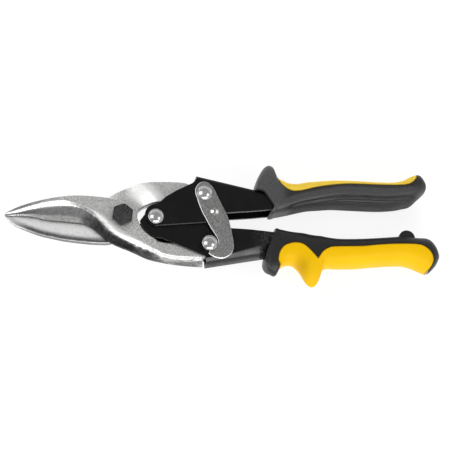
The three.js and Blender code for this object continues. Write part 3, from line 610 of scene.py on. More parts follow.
def latch_steel():
    n = Nodes("latch_steel")
    speck = n.noise(950, 5, 0.72)
    grain = n.noise(420, 4, 0.6)
    cloud = n.noise(90, 3, 0.5)
    base = n.colour(n.ramp(speck, 0.36, 0.64), (0.17, 0.17, 0.17), (0.41, 0.41, 0.405))
    base = n.colour(n.ramp(cloud, 0.35, 0.7, 0.0, 0.5), base, (0.29, 0.29, 0.285))
    # painted highlight: sharp edges and faces marked 'rim' are painted near-white
    edge = n.edges(0.45, 0.02, 0.18)
    base = n.colour(n.maths("MULTIPLY", edge, 0.5), base, (0.92, 0.92, 0.91))
    base = n.colour(n.attribute("rim"), base, (0.97, 0.97, 0.965))
    n.bump((speck, 0.2, 0.04), (grain, 0.12, 0.06))
    return n.set(Base_Color=base, Metallic=0.95, Roughness=n.ramp(grain, 0.3, 0.7, 0.33, 0.46))

def spring_steel():
    n = Nodes("spring_steel")
    draw = n.noise(900, 4, 0.6)
    base = n.colour(n.ramp(draw, 0.3, 0.7), (0.3, 0.3, 0.3), (0.52, 0.52, 0.51))
    n.bump((draw, 0.15, 0.03))
    return n.set(Base_Color=base, Metallic=1.0, Roughness=n.ramp(draw, 0.3, 0.7, 0.25, 0.4))

def grip_black():
    n = Nodes("black_grip")
    dust_and_sheen = n.attribute("dust_and_sheen")
    pebble = n.cells(1700)
    grain = n.noise(900, 3, 0.6)
    cloud = n.noise(55, 3, 0.5)
    base = n.colour(n.ramp(grain, 0.3, 0.7), (0.0065, 0.0065, 0.007), (0.015, 0.015, 0.0165))
    base = n.colour(n.ramp(cloud, 0.35, 0.7, 0.0, 0.5), base, (0.012, 0.012, 0.0135))
    # painted light: where this attribute is set, the black is painted a lighter grey
    base = n.colour(dust_and_sheen, base, n.colour(n.ramp(grain, 0.3, 0.7), (0.066, 0.066, 0.068), (0.09, 0.09, 0.093)))
    edge = n.edges(0.6, 0.02, 0.3)
    base = n.colour(n.maths("MULTIPLY", edge, 0.45), base, (0.06, 0.06, 0.064))
    n.bump((pebble, 0.16, 0.05), (grain, 0.14, 0.04))
    return n.set(Base_Color=base, Roughness=n.ramp(grain, 0.3, 0.7, 0.36, 0.48), Specular_IOR_Level=0.34)

def grip_yellow():
    n = Nodes("yellow_grip")
    pebble = n.cells(1500)
    grain = n.noise(700, 3, 0.6)
    cloud = n.noise(40, 3, 0.5)
    base = n.colour(n.ramp(cloud, 0.3, 0.7), (0.90, 0.52, 0.001), (0.95, 0.565, 0.002))
    base = n.colour(n.ramp(grain, 0.45, 0.85, 0.0, 0.25), base, (0.85, 0.47, 0.002))
    # painted shade: a darker yellow patch ahead of the finger hook
    base = n.colour(n.attribute("painted_hollow_shade"), base, (0.45, 0.26, 0.002))
    # painted light: the upper inlay is painted a lighter yellow
    base = n.colour(n.attribute("lit"), base, (1.0, 0.74, 0.10))
    # painted highlight: the rounded edges are painted a lighter yellow
    edge = n.edges(0.5, 0.02, 0.3)
    base = n.colour(n.maths("MULTIPLY", edge, 0.4), base, (1.0, 0.74, 0.10))
    base = n.colour(n.attribute("seam"), base, (0.07, 0.035, 0.003))
    n.bump((pebble, 0.1, 0.04), (grain, 0.1, 0.03))
    return n.set(Base_Color=base, Roughness=n.ramp(grain, 0.3, 0.7, 0.42, 0.55), Specular_IOR_Level=0.13)

M_STEEL = forged_steel()
M_OXIDE = black_oxide()
M_ENAMEL = black_enamel()
M_ENAMEL_LOWER = black_enamel("black_enamel_bent", LOWER_WEB, 1)
M_LATCH = latch_steel()
M_SPRING = spring_steel()
M_BLACK = grip_black()
M_YELLOW = grip_yellow()

# ------------------------------------------------------------------ jaws
def front_under(x, y):
    return mix(GAP, -TANG, smooth(4, 15, x) * smooth(11, 16, math.hypot(x, y)))

def stations(last, fine_from, fine_to, fine, coarse):
    u = []
    for i in range(last):
        k = fine if fine_from <= i < fine_to else coarse
        u += [i + j / k for j in range(k)]
    return u + [last]

def front_jaw():
    loops = []
    for u in stations(25, 1, 9, 20, 7):
        top, crest, foot, edge = (np.array(spline(r, u)) for r in (FRONT_TOP, FRONT_CREST, FRONT_FOOT, FRONT_EDGE))
        blade = 1 - smooth(8.6, 12.5, u)
        step = smooth(17.2, 21.2, top[0]) if u > 15 else 0.0
        face = mix(linear(SPINE_Z, u), TANG, step)
        foot_z = mix(mix(linear(FOOT_Z, u), face - 1.8, smooth(9, 13, u)), face - 1.8, step)
        edge_z = mix(min(GAP + 1.8, foot_z - 0.15), front_under(*edge) + 2.2, smooth(9, 13, u))
        teeth = smooth(0.9, 1.8, u) * (1 - smooth(8.2, 9.0, u))
        wave = 0.5 + 0.5 * math.cos(2 * math.pi * edge[0] / 1.3)
        edge = edge + np.array([0, 0.5 * teeth * wave ** 0.8])
        loop = []
        def add(p, z):
            loop.append((p[0], p[1], z))
        for k in range(8):  # lap face, edge side to spine side
            p = mix(edge, top, k / 7)
            add(p, min(front_under(*p), face - 0.9))
        across = crest - top
        width = max(np.linalg.norm(across), 1e-6)
        d = across / width
        r = min(0.8, width * 0.45, (face - GAP) * 0.35)
        low = min(front_under(*top), face - 0.9)
        add(top, mix(low, face - r, 0.5))
        for k in range(5):
            a = math.pi / 2 * k / 4
            add(top + d * r * (1 - math.cos(a)), face - r * (1 - math.sin(a)))
        for k in range(1, 6):
            add(mix(top + d * r, crest, k / 6), face)
        fall = foot - crest
        for t, f in ((0, 0), (0.06, 0.02), (0.13, 0.08), (0.3, 0.27), (0.5, 0.5), (0.7, 0.73), (0.87, 0.92), (1, 1)):  # one plain slope
            add(crest + fall * t, mix(face, foot_z, f))
        grind = 0.60
        bevel_z = mix(edge_z + 0.62, mix(foot_z, edge_z, 0.8), 1 - blade)
        start = mix(foot, edge, mix(0.8, grind, blade))
        for k in range(1, 8):
            t = k / 7
            hollow = foot_z + (bevel_z - foot_z) * (1 - (1 - t) ** 1.7)
            add(mix(foot, start, t), mix(mix(foot_z, bevel_z, t), hollow, blade))
        for k in range(1, 5):
            t = k / 5
            add(mix(start, edge, t), mix(bevel_z, edge_z, t))
        add(edge, edge_z - 0.12 * (1 - blade))
        add(edge, mix(edge_z, min(front_under(*edge), face - 0.9), 0.55))
        loops.append(loop)
    ob = loft("front_jaw_forging", loops)
    x, y = LOWER_TANG
    tang = prism("tang", [(30, -23.2), (44, -24.0), *arc(x, y, 6.3, -112, 110, 48), (44.4, -12.6), (39, -14.2), (30, -17)], -TANG + 0.03, TANG - 0.03)
    boolean(ob, tang, "UNION")
    boolean(ob, lathe("bore", [(0, -12), (4.05, -12), (4.05, 12), (0, 12)], JAW_PIVOT), "DIFFERENCE")
    boolean(ob, lathe("bore", [(0, -12), (2.82, -12), (2.82, 12), (0, 12)], LOWER_TANG), "DIFFERENCE")
    tidy(ob)
    crest_x = np.array([spline(FRONT_CREST, i / 8) for i in range(201)])
    edge_x = np.array([spline(FRONT_EDGE, i / 8) for i in range(201)])
    foot_x = np.array([spline(FRONT_FOOT, i / 8) for i in range(201)])
    # painted shade: dark reflection tones painted on the hollow, the shank bevel and the tail end
    def painted_shade_zone(x, y, z):
        if z < 0.25 and x < 4:
            return 0.0
        # painted shade on the end of the tail
        if x > 45.3 and y < -24:
            return 0.9
        i = int(np.argmin((foot_x[:, 0] - x) ** 2 + (foot_x[:, 1] - y) ** 2))
        u = i / 8
        f, e, c = foot_x[i], edge_x[i], crest_x[i]
        back = (c - f) / max(np.linalg.norm(c - f), 1e-6)
        beyond = float(np.dot(np.array([x, y]) - c, back))
        if beyond > 0.02 and x < -20:  # painted shade: the flat is painted darker towards the point
            return 0.78 * smooth(0.0, 0.45, beyond) * (1 - smooth(-60, -30, x))
        across = e - f
        t = float(np.dot(np.array([x, y]) - f, across) / max(np.dot(across, across), 1e-6))
        w = np.linalg.norm(across)
        inside = smooth(-0.06, 0.1, t * w / 4)
        hollow = inside * (1 - 0.5 * smooth(0.57, 0.62, t)) * (0.86 - 0.12 * smooth(2, 6, u))
        # painted shadow: near-black along the low side wall under the cutting edge
        if z < GAP + 1.05 and t > 0.9:
            hollow = 2.0
        shank = smooth(-0.04, 0.12, t) * (1.8 - 0.9 * smooth(0.72, 0.95, t)) * (1 - 0.5 * smooth(20, 22.5, u))
        k = smooth(9.0, 12.4, u)
        return clamp(mix(hollow, shank, k) * (u < 24.99), 0.0, 2.0)
    paint(ob, "dark", painted_shade_zone)
    paint(ob, "ground", lambda x, y, z: 1.0 if (z < 0.3 and x < 4) else 0.0)
    # painted highlight: a white line painted on the slope from the crest down to the foot along the shank
    def crest_highlight(x, y, z):
        i = int(np.argmin((foot_x[:, 0] - x) ** 2 + (foot_x[:, 1] - y) ** 2))
        f, c, u = foot_x[i], crest_x[i], i / 8
        s = float(np.dot(np.array([x, y]) - c, f - c) / max(np.dot(f - c, f - c), 1e-6))
        if z < 1.5 or u < 8:
            return 0.0
        return smooth(-0.12, 0.04, s) * (1 - smooth(0.75, 1.02, s)) * smooth(8.5, 10.5, u) * (1 - smooth(18.5, 21, u))
    paint(ob, "painted_highlight", crest_highlight)
    # painted shadow: the low side faces turned towards -y along the blade's cutting edge are marked near-black
    mark(ob, "wall", lambda x, y, z, n: 0.92 if abs(n.z) < 0.5 and n.y < -0.2 and 0.1 < z < 2.3 and -66 < x < 1 else 0.0)
    shade(ob, 38)
    return finish_piece(ob, "fore_jaw", ["front_jaw"], M_STEEL)

def back_jaw():
    loops = []
    for u in stations(24, 0, 12, 7, 7):
        edge, spine = np.array(spline(BACK_EDGE, u)), np.array(spline(BACK_SPINE, u))
        tail = smooth(9, 13, u)
        height = linear(SPINE_Z, u)
        across = spine - edge
        width = np.linalg.norm(across)
        loop = []
        def upper(p, drop):
            rise = smooth(13.5, 24, math.hypot(*p)) * smooth(-4, 4, p[1]) if u > 11 else 0.0
            return mix(-GAP - drop, TANG - drop * 0.7, rise)
        def lower(p, t, lift):
            full = mix(JAW_FACE, TANG, smooth(17, 22, p[0]))
            ground = mix(1.0, 0.52 * height + 0.5, smooth(0.02, 0.5, t))
            blade = mix(ground, height, smooth(0.55, 0.72, t))
            return -(mix(max(blade, 0.9), full, tail)) + lift
        r_edge = 0.15 if tail < 0.5 else 0.7
        r_edge = mix(0.12, 0.7, tail)
        r_spine = mix(min(1.5, 0.32 * height + 0.15), 0.8, tail)
        for k in range(5):
            a = math.pi / 2 * (1 - k / 4)
            p = edge + across / width * r_edge * (1 - math.sin(a))
            loop.append((p[0], p[1], upper(p, r_edge * (1 - math.cos(a)))))
        for k in range(1, 12):
            p = mix(edge + across / width * r_edge, spine - across / width * r_spine, k / 12)
            loop.append((p[0], p[1], upper(p, 0)))
        for k in range(6):
            a = math.pi / 2 * k / 5
            p = spine - across / width * r_spine * (1 - math.sin(a))
            loop.append((p[0], p[1], upper(p, 0.85 * r_spine * (1 - math.cos(a)))))
        draft = clamp((-lower(spine, 1.0, 0) - GAP - 0.85 * r_spine) * 0.75, 0.2, 2.8)  # the back is drawn in along the spine
        draft = mix(draft, 0.35, smooth(-8, 4, spine[0]))
        r2 = mix(0.46, 1.0, smooth(-8, 4, spine[0])) * draft
        for k in range(8):
            a = math.pi / 2 * k / 7
            p = spine - across / width * r2 * (1 - math.cos(a))
            loop.append((p[0], p[1], lower(p, 1.0, draft * (1 - math.sin(a)))))
        for k in range(1, 14):
            t = 1 - k / 14
            p = mix(edge, spine - across / width * r2, t)
            loop.append((p[0], p[1], lower(p, t, 0)))
        loop.append((edge[0], edge[1], lower(edge, 0, mix(0.25, 0.5, tail))))
        loops.append(loop)
    ob = loft("back_jaw_forging", loops)
    x, y = UPPER_TANG
    tang = prism("tang", [(30, 9.2), (36, 7.4), (42.4, 6.6), *arc(x, y, 6.3, -112, 105, 48), (38, 19.8), (30, 20)], -TANG + 0.03, TANG - 0.03)
    boolean(ob, tang, "UNION")
    boolean(ob, lathe("boss", [(0, -BOSS), (5.7, -BOSS), (6.0, -BOSS + 0.3), (6.0, BOSS - 0.3), (5.7, BOSS), (0, BOSS)], UPPER_TANG), "UNION")
    boolean(ob, lathe("bore", [(0, -12), (4.07, -12), (4.07, 12), (0, 12)], JAW_PIVOT), "DIFFERENCE")
    boolean(ob, lathe("bore", [(0, -12), (2.56, -12), (2.56, 12), (0, 12)], UPPER_TANG), "DIFFERENCE")
    tidy(ob)
    spine_x = np.array([spline(BACK_SPINE, i / 8) for i in range(97)])
    def ground(x, y, z):
        return (1 - smooth(-8, 2, x)) if z > -0.6 else 0.0
    # painted highlight: the ramp rising towards the tail is painted near-white where it faces the lamps
    def painted_highlight(x, y, z):
        r = math.hypot(x, y)
        return smooth(11, 15.5, r) * (1 - smooth(24.5, 28.5, r)) * smooth(4, 9, y) * smooth(1.5, 8, x) if z > -0.6 else 0.0
    # painted shade: darker towards the rounded spine edge, and a flat darker tone lower down the blade
    def dark(x, y, z):
        if x > 2 or z < -JAW_FACE + 0.3:
            return 0.0
        d = float(np.sqrt(np.min((spine_x[:, 0] - x) ** 2 + (spine_x[:, 1] - y) ** 2)))
        if z > -1.9 and d > 0.02:
            return clamp(1.1 * (1 - smooth(1.4, 4.3, d)) * mix(0.6, 1.0, smooth(0.3, 0.9, d)) * smooth(-69, -50, x), 0, 1.05)
        return 0.78
    paint(ob, "ground", ground)
    paint(ob, "painted_highlight", painted_highlight)
    paint(ob, "dark", dark)
    shade(ob, 38)
    return finish_piece(ob, "rear_jaw", ["back_jaw"], M_STEEL)

# ------------------------------------------------------------------ fasteners
def hexagon(flats, angle):
    r = flats / math.sqrt(3)
    return [(r * math.cos(math.radians(angle + 30 + 60 * k)), r * math.sin(math.radians(angle + 30 + 60 * k))) for k in range(6)]

def pivot_bolt():
    z0, top = JAW_FACE + 0.05, JAW_FACE + 4.05
    flats = 11.0
    r = flats / math.sqrt(3)
    head = prism("pivot_bolt_black", hexagon(flats, 50), z0, top)
    crown = lathe("crown", [(0, z0 - 1), (r + 2, z0 - 1), (r + 2, top - 2.3), (flats / 2 - 0.5, top), (0, top)], JAW_PIVOT, 96)
    boolean(head, crown, "INTERSECT")
    tidy(head)
    bevel(head, 0.16, 2, 28)
    end = -(JAW_FACE + 0.05 + 4.2 + 1.2)
    profile = [(0, end), (3.3, end)]
    z = end + 0.5
    profile.append((3.72, z))
    while z < -JAW_FACE + 0.6:  # thread ridges
        profile += [(3.74, z), (3.98, z + 0.25), (3.98, z + 0.35), (3.74, z + 0.6)]
        z += 0.7
    profile += [(3.98, z), (3.98, z0 + 0.6), (0, z0 + 0.6)]
    shank = lathe("shank", profile, JAW_PIVOT, 64)
    boolean(head, shank, "UNION")
    tidy(head)
    shade(head, 30)
    # painted shade: the hex head's side faces are marked darker
    mark(head, "side", lambda x, y, z, n: 0.85 if abs(n.z) < 0.9 and z > z0 else 0.0)
    return finish_piece(head, "fore_jaw", ["pivot_bolt"], M_OXIDE)

def pivot_nut():
    z1 = -(JAW_FACE + 0.05)
    z0 = z1 - 4.2
    flats = 11.0
    r = flats / math.sqrt(3)
    nut = prism("pivot_nut_black", hexagon(flats, 12), z0, z1)
    crown = lathe("crown", [(0, z0), (flats / 2 - 0.2, z0), (r + 1.2, z0 + 1.7), (r + 1.2, z1 + 1), (0, z1 + 1)], JAW_PIVOT, 96)
    boolean(nut, crown, "INTERSECT")
    bore = lathe("bore", [(0, z0 - 1), (4.7, z0 - 1), (4.7, z0), (4.05, z0 + 0.6), (4.05, z1 + 1), (0, z1 + 1)], JAW_PIVOT, 64)
    boolean(nut, bore, "DIFFERENCE")
    tidy(nut)
    bevel(nut, 0.14, 2, 28)
    shade(nut, 30)
    return finish_piece(nut, "fore_jaw", ["pivot_nut"], M_OXIDE)

def dome_profile(z, side):
    """Rivet head from its rim to its crown: a flat rim ring, a fine groove, then a low dome."""
    out = [(HEAD_R - 0.12, z), (HEAD_R, z + side * 0.1), (HEAD_R, z + side * 0.42), (HEAD_R - 0.12, z + side * 0.55)]
    out += [(HEAD_R - 0.5, z + side * 0.6), (HEAD_R - 0.66, z + side * 0.5), (HEAD_R - 0.8, z + side * 0.62)]
    r0 = HEAD_R - 0.8
    for k in range(1, 13):
        t = 1 - k / 13
        out.append((r0 * t, z + side * (0.62 + 1.28 * (1 - t ** 2.3))))
    return out + [(0, z + side * 1.9)]

def rivet(name, centre, low, high, body, node, collar=None):
    r = 2.5
    profile = list(reversed(dome_profile(-low, -1)))
    profile.append((r, -low))
    if collar:
        profile += [(r, low), (4.1, low), (4.1, collar), (1.9, collar), (1.9, high)]
    else:
        profile.append((r, high))
    profile += dome_profile(high, 1)
    ob = lathe(name, profile, centre, 96)
    shade(ob, 45)
    return finish_piece(ob, body, [node], plated("plated_" + node, centre))

# ------------------------------------------------------------------ channels
def folded(name, web, half_in, half_out, side, soft=0.0):
    """The folded strip before its outline is cut: a U section run along the web line."""
    wall = half_out - half_in
    deep, n = 48.0, 9
    def wall_at(u, v):
        return math.copysign(abs(v) - soft * (1 - smooth(0, 10, u)) * smooth(0, FOLD, u) * (abs(v) > half_out - FOLD), v)
    outer = arc(FOLD, FOLD - half_out, FOLD, 270, 180, n) + arc(FOLD, half_out - FOLD, FOLD, 180, 90, n)
    if soft:
        run = [3.8, 4.8, 5.8, 7, 8.4, 10]
        outer = [(u, -half_out) for u in reversed(run)] + outer + [(u, half_out) for u in run]
        outer = [(u, wall_at(u, v)) for u, v in outer]
    r = FOLD - wall
    inner = arc(FOLD, half_in - r, r, 90, 180, 6) + arc(FOLD, r - half_in, r, 180, 270, 6)
    section = [(deep, -half_out)] + outer + [(deep, half_out), (deep, half_in)] + inner + [(deep, -half_in)]
    x0, y0, slope = web
    length = math.hypot(1, slope)
    along = np.array([1 / length, slope / length])
    inward = np.array([-along[1], along[0]]) * side
    loops = []
    for s in (-42.0, 84.0):
        o = np.array([x0, y0]) + along * s
        loops.append([(*(o + inward * u), v) for u, v in section])
    return loft(name, loops)

def channel_upper():
    outline = arc(*UPPER_NOSE, 265, 82, 40)
    outline += UPPER_TOP[:1] + dense(UPPER_TOP[0:5], 5)[1:] + UPPER_TOP[5:]
    outline += dense(UPPER_LOW, 4)
    ob = folded("upper_channel", UPPER_WEB, OUT_WALL_IN, OUT_WALL_OUT, -1)
    boolean(ob, prism("cut", outline, -12, 12), "INTERSECT")
    for c in (HANDLE_PIVOT, UPPER_TANG):
        boolean(ob, lathe("bore", [(0, -12), (2.53, -12), (2.53, 12), (0, 12)], c), "DIFFERENCE")
    tidy(ob)
    bevel(ob, 0.28, 3, 35)
    shade(ob, 40)
    # painted highlight: the cut edge faces turned towards -y on the upper channel are marked light grey
    mark(ob, "cut", lambda x, y, z, n: 1.0 if n.y < -0.5 and abs(n.z) < 0.5 and y < 8 and 24 < x else 0.0)
    return finish_piece(ob, "upper_lever", ["upper_handle"], M_ENAMEL)

def channel_lower():
    outline = arc(*LOWER_CROWN, 52, 165, 36) + [LOWER_SHOULDER] + arc(*LOWER_NOSE, 192, 222, 12)
    outline += dense(LOWER_LOW[:7], 5)[1:] + LOWER_LOW[7:] + LOWER_TOP
    ob = folded("lower_channel", LOWER_WEB, IN_WALL_IN, IN_WALL_OUT, 1, 0.75)
    boolean(ob, prism("cut", outline, -12, 12), "INTERSECT")
    for c, r in ((HANDLE_PIVOT, 2.56), (LOWER_TANG, 2.53)):
        boolean(ob, lathe("bore", [(0, -12), (r, -12), (r, 12), (0, 12)], c), "DIFFERENCE")
    tidy(ob)
    bevel(ob, 0.26, 3, 35)
    shade(ob, 40)
    return finish_piece(ob, "lower_lever", ["lower_handle"], M_ENAMEL_LOWER)

def latch_plate():
    outline = dense(LATCH_SIDE, 4) + dense(LATCH_NOTCH, 3)
    ob = prism("latch_plate", outline, LATCH_Z0, LATCH_Z1)
    boolean(ob, lathe("bore", [(0, 0), (2.56, 0), (2.56, 14), (0, 14)], UPPER_TANG), "DIFFERENCE")
    tidy(ob)
    bevel(ob, 0.85, 4, 50)
    x, y, r, h = DIMPLE
    bump = [(0, LATCH_Z1 - 0.4), (r, LATCH_Z1 - 0.4), (r, LATCH_Z1 - 0.002)]
    for k in range(1, 16):
        t = 1 - k / 16
        bump.append((r * t, LATCH_Z1 + h * (1 - smooth(0.12, 1.0, t))))
    bump.append((0, LATCH_Z1 + h))
    boolean(ob, lathe("bump", bump, (x, y), 48), "UNION")
    dent = [(0, LATCH_Z0 + 0.75)]
    for k in range(1, 9):
        t = k / 8
        dent.append((r * 0.85 * t, LATCH_Z0 + 0.75 * (1 - smooth(0, 1, t)) - 0.01 * t))
    dent += [(r * 0.85, LATCH_Z0 - 0.5), (0, LATCH_Z0 - 0.5)]
    boolean(ob, lathe("dent", dent, (x, y), 48), "DIFFERENCE")
    tidy(ob)
    shade(ob, 40)
    # painted highlight: rim faces turned left and down are painted near-white, plus two bright spots on the dimple
    def rim(x, y, z, n):
        if math.hypot(x - DIMPLE[0], y - DIMPLE[1]) < DIMPLE[2] + 0.1:
            return 1.0 if 0.6 < abs(x - DIMPLE[0]) < 2.1 and abs(y - DIMPLE[1] + 0.2) < 0.9 else 0.0
        return clamp(0.3 + 1.6 * max(-n.x, -n.y)) if n.z < 0.97 and z > LATCH_Z0 + 0.1 else 0.0
    mark(ob, "rim", rim)
    return finish_piece(ob, "lock", ["latch"], M_LATCH)

def latch_washer():
    z0, z1 = OUT_WALL_OUT + 0.03, LATCH_Z0 - 0.05
    ob = lathe("latch_washer_ring", [(2.56, z0), (4.9, z0), (5.0, z0 + 0.08), (5.0, z1 - 0.08), (4.9, z1), (2.56, z1), (2.56, z0)], UPPER_TANG, 64)
    shade(ob, 40)
    return finish_piece(ob, "upper_lever", ["latch_washer"], plated("plated_washer", UPPER_TANG))

def torsion_spring():
    x, y = HANDLE_PIVOT
    half, coil, turns = 2.55, 4.6, 3.5
    pts = [(69, 14.6, half), (64.5, 8.0, half), (58, 4.8, half), (48, 3.9, half), (30, 3.6, half)]
    steps = 84
    for i in range(steps + 1):
        a = math.pi / 2 + turns * 2 * math.pi * i / steps
        pts.append((x + coil * math.cos(a), y + coil * math.sin(a), mix(half, -half, i / steps)))
    pts += [(30, -6.6, -half), (48, -9.0, -half), (57.5, -11.5, -half), (62.5, -17, -half), (66, -23.4, -half)]
    path = []
    for i in range(len(pts) - 1):
        long = math.dist(pts[i], pts[i + 1]) > 3
        n = 8 if long else 1
        if long:
            p, q = np.array(pts[i]), np.array(pts[i + 1])
            path += [tuple(spline(pts, i + k / n)) for k in range(n)] if 0 < i < 4 or i > len(pts) - 6 else [tuple(mix(p, q, k / n)) for k in range(n)]
        else:
            path.append(pts[i])
    path.append(pts[-1])
    path = np.array(path)
    tangents = np.gradient(path, axis=0)
    tangents /= np.linalg.norm(tangents, axis=1, keepdims=True)
    up = np.array([0.0, 0.0, 1.0])
    loops = []
    for p, t in zip(path, tangents):
        side = np.cross(up, t)
        side /= np.linalg.norm(side)
        n = np.cross(t, side)
        loops.append([tuple(p + 0.65 * (math.cos(2 * math.pi * k / 14) * side + math.sin(2 * math.pi * k / 14) * n)) for k in range(14)])
    ob = loft("opening_spring_wire", loops)
    bevel(ob, 0.12, 2, 60)
    shade(ob, 50)
    return finish_piece(ob, "upper_lever", ["opening_spring"], M_SPRING)

# ------------------------------------------------------------------ grips
AROUND = 176

def section_points(x, low, high, half, n_low, n_high, count=AROUND):
    centre, reach = (low + high) / 2, (high - low) / 2
    pts = []
    for k in range(count):
        a = 2 * math.pi * (k + 0.5) / count
        c, s = math.cos(a), math.sin(a)
        n = n_low if s < 0 else n_high
        pts.append((centre + reach * math.copysign(abs(s) ** (2 / n), s), half * math.copysign(abs(c) ** (2 / n), c)))
    pts = np.array(pts)
    step = np.linalg.norm(np.roll(pts, -1, 0) - pts, axis=1)
    total = step.sum()
    s = np.concatenate([[0], np.cumsum(step)])
    want = np.arange(count) * total / count
    closed = np.vstack([pts, pts[:1]])
    return np.stack([np.interp(want, s, closed[:, 0]), np.interp(want, s, closed[:, 1])], 1)

def grip_loft(name, table, per, relief=None):
    loops = []
    last = len(table) - 1
    for i in range(last * per + 1):
        u = i / per
        x, low, high, half, n_low, n_high = spline(table, u)
        half = max(half, 0.4)
        pts = section_points(x, low, high, half, max(n_low, 1.5), max(n_high, 1.5))
        centre = np.array([(low + high) / 2, 0])
        if relief:
            tangent = np.roll(pts, -1, 0) - np.roll(pts, 1, 0)
            normal = np.stack([tangent[:, 1], -tangent[:, 0]], 1)
            normal /= np.maximum(np.linalg.norm(normal, axis=1, keepdims=True), 1e-9)
            out = np.sum(normal * (pts - centre), axis=1, keepdims=True)
            normal *= np.sign(out)
            pts = pts + normal * relief(x, pts, u)[:, None]
        loops.append([(x, p[0], p[1]) for p in pts])
    return loft(name, loops)

GROOVE_X = np.array([g[0] for g in dense(GROOVE, 6)])
GROOVE_Y = np.array([g[1] for g in dense(GROOVE, 6)])

def distance_to(line, x, y):
    """Distance in plan from points to a polyline."""
    line = np.asarray(line, float)
    p = np.stack([np.full(len(y), x), y], 1)
    best = np.full(len(y), 1e9)
    for a, b in zip(line[:-1], line[1:]):
        d = b - a
        t = np.clip(((p - a) @ d) / max(d @ d, 1e-9), 0, 1)
        best = np.minimum(best, np.linalg.norm(p - a - t[:, None] * d, axis=1))
    return best

def sm(a, b, v):
    t = np.clip((v - a) / (b - a), 0, 1)
    return t * t * (3 - 2 * t)

def upper_relief(x, pts, u):
    y, z = pts[:, 0], pts[:, 1]
    yg = np.interp(x, GROOVE_X, GROOVE_Y)
    on = sm(94, 101, x) * (1 - sm(173, 177, x))
    below = yg - y
    side = sm(0.0, 2.0, np.abs(z))
    step = np.linalg.norm(np.roll(pts, -1, 0) - pts, axis=1)
    # distance along the skin under the groove line
    arcl = np.zeros(len(y))
    for sign in (1, -1):
        idx = np.where((z * sign > 0) & (below > -0.4))[0]
        if len(idx):
            order = idx[np.argsort(-y[idx])]
            d = 0.0
            prev = None
            for k in order:
                if prev is not None:
                    d += float(np.linalg.norm(pts[k] - pts[prev]))
                arcl[k] = d
                prev = k
    groove = -0.55 * np.exp(-((below / 0.55) ** 2)) * side
    pad = -0.12 * sm(0.2, 1.0, below)
    ribs = 0.16 * np.cos(2 * np.pi * (arcl - 0.4) / 1.75) * sm(1.3, 2.2, arcl)
    crown = 0.35 * np.exp(-(((below + 2.4) / 1.9) ** 2)) * side
    rim = 0.55 * (1 - sm(1.0, 2.6, distance_to(UPPER_MOUTH[1:7], x, y)))
    return on * (groove + pad + ribs + crown) + rim

def lower_relief(x, pts, u):
    y, z = pts[:, 0], pts[:, 1]
    rim = 0.45 * (1 - sm(1.0, 2.6, distance_to(LOWER_MOUTH[2:11], x, y)))
    return rim

def shell_cut(kind, amount):
    if kind == "upper":
        g = grow([(91.7, 40)] + UPPER_SHELL + [(175, 40)], amount)
        outline = [g[0]] + dense(g[1:-1], 6) + [g[-1]]
    else:
        n = len(LOWER_SHELL)
        g = grow([(89.8, -50)] + LOWER_SHELL + LOWER_SHELL_2[1:] + [(175.6, -50)], amount)
        outline = [g[0]] + dense(g[1:n + 1], 6) + dense(g[n:-1], 6)[1:] + [g[-1]]
    return prism("shell_cut", outline, -20, 20)

def web_y(web, x):
    return web[1] + web[2] * (x - web[0])

def upper_socket():
    o = [(70, web_y(UPPER_WEB, 70) + 0.2), (104.2, web_y(UPPER_WEB, 104.2) + 0.2), (104.2, 8.0), (96, 5.0), (88, 3.1), (83, 2.6), (74.8, 1.85), (70, 1.55)]
    return prism("socket", o, -OUT_WALL_OUT - 0.15, OUT_WALL_OUT + 0.15)

def lower_socket():
    o = [(70, web_y(LOWER_WEB, 70) - 0.2), (85.7, web_y(LOWER_WEB, 85.7) - 0.2), (86, -16.5), (110.2, -16.2), (110.2, -12.4), (98, -11.5), (88, -10.0), (81, -9.1), (74, -8.3), (70, -7.95)]
    return prism("socket", o, -IN_WALL_OUT - 0.15, IN_WALL_OUT + 0.15)

def bumper_outline(extra):
    x, y, r, half = BUMPER
    return arc(x, y, r + extra, 0, 180, 40) + [(x - r - extra, y - 2.4 - extra), (x + r + extra, y - 2.4 - extra)]

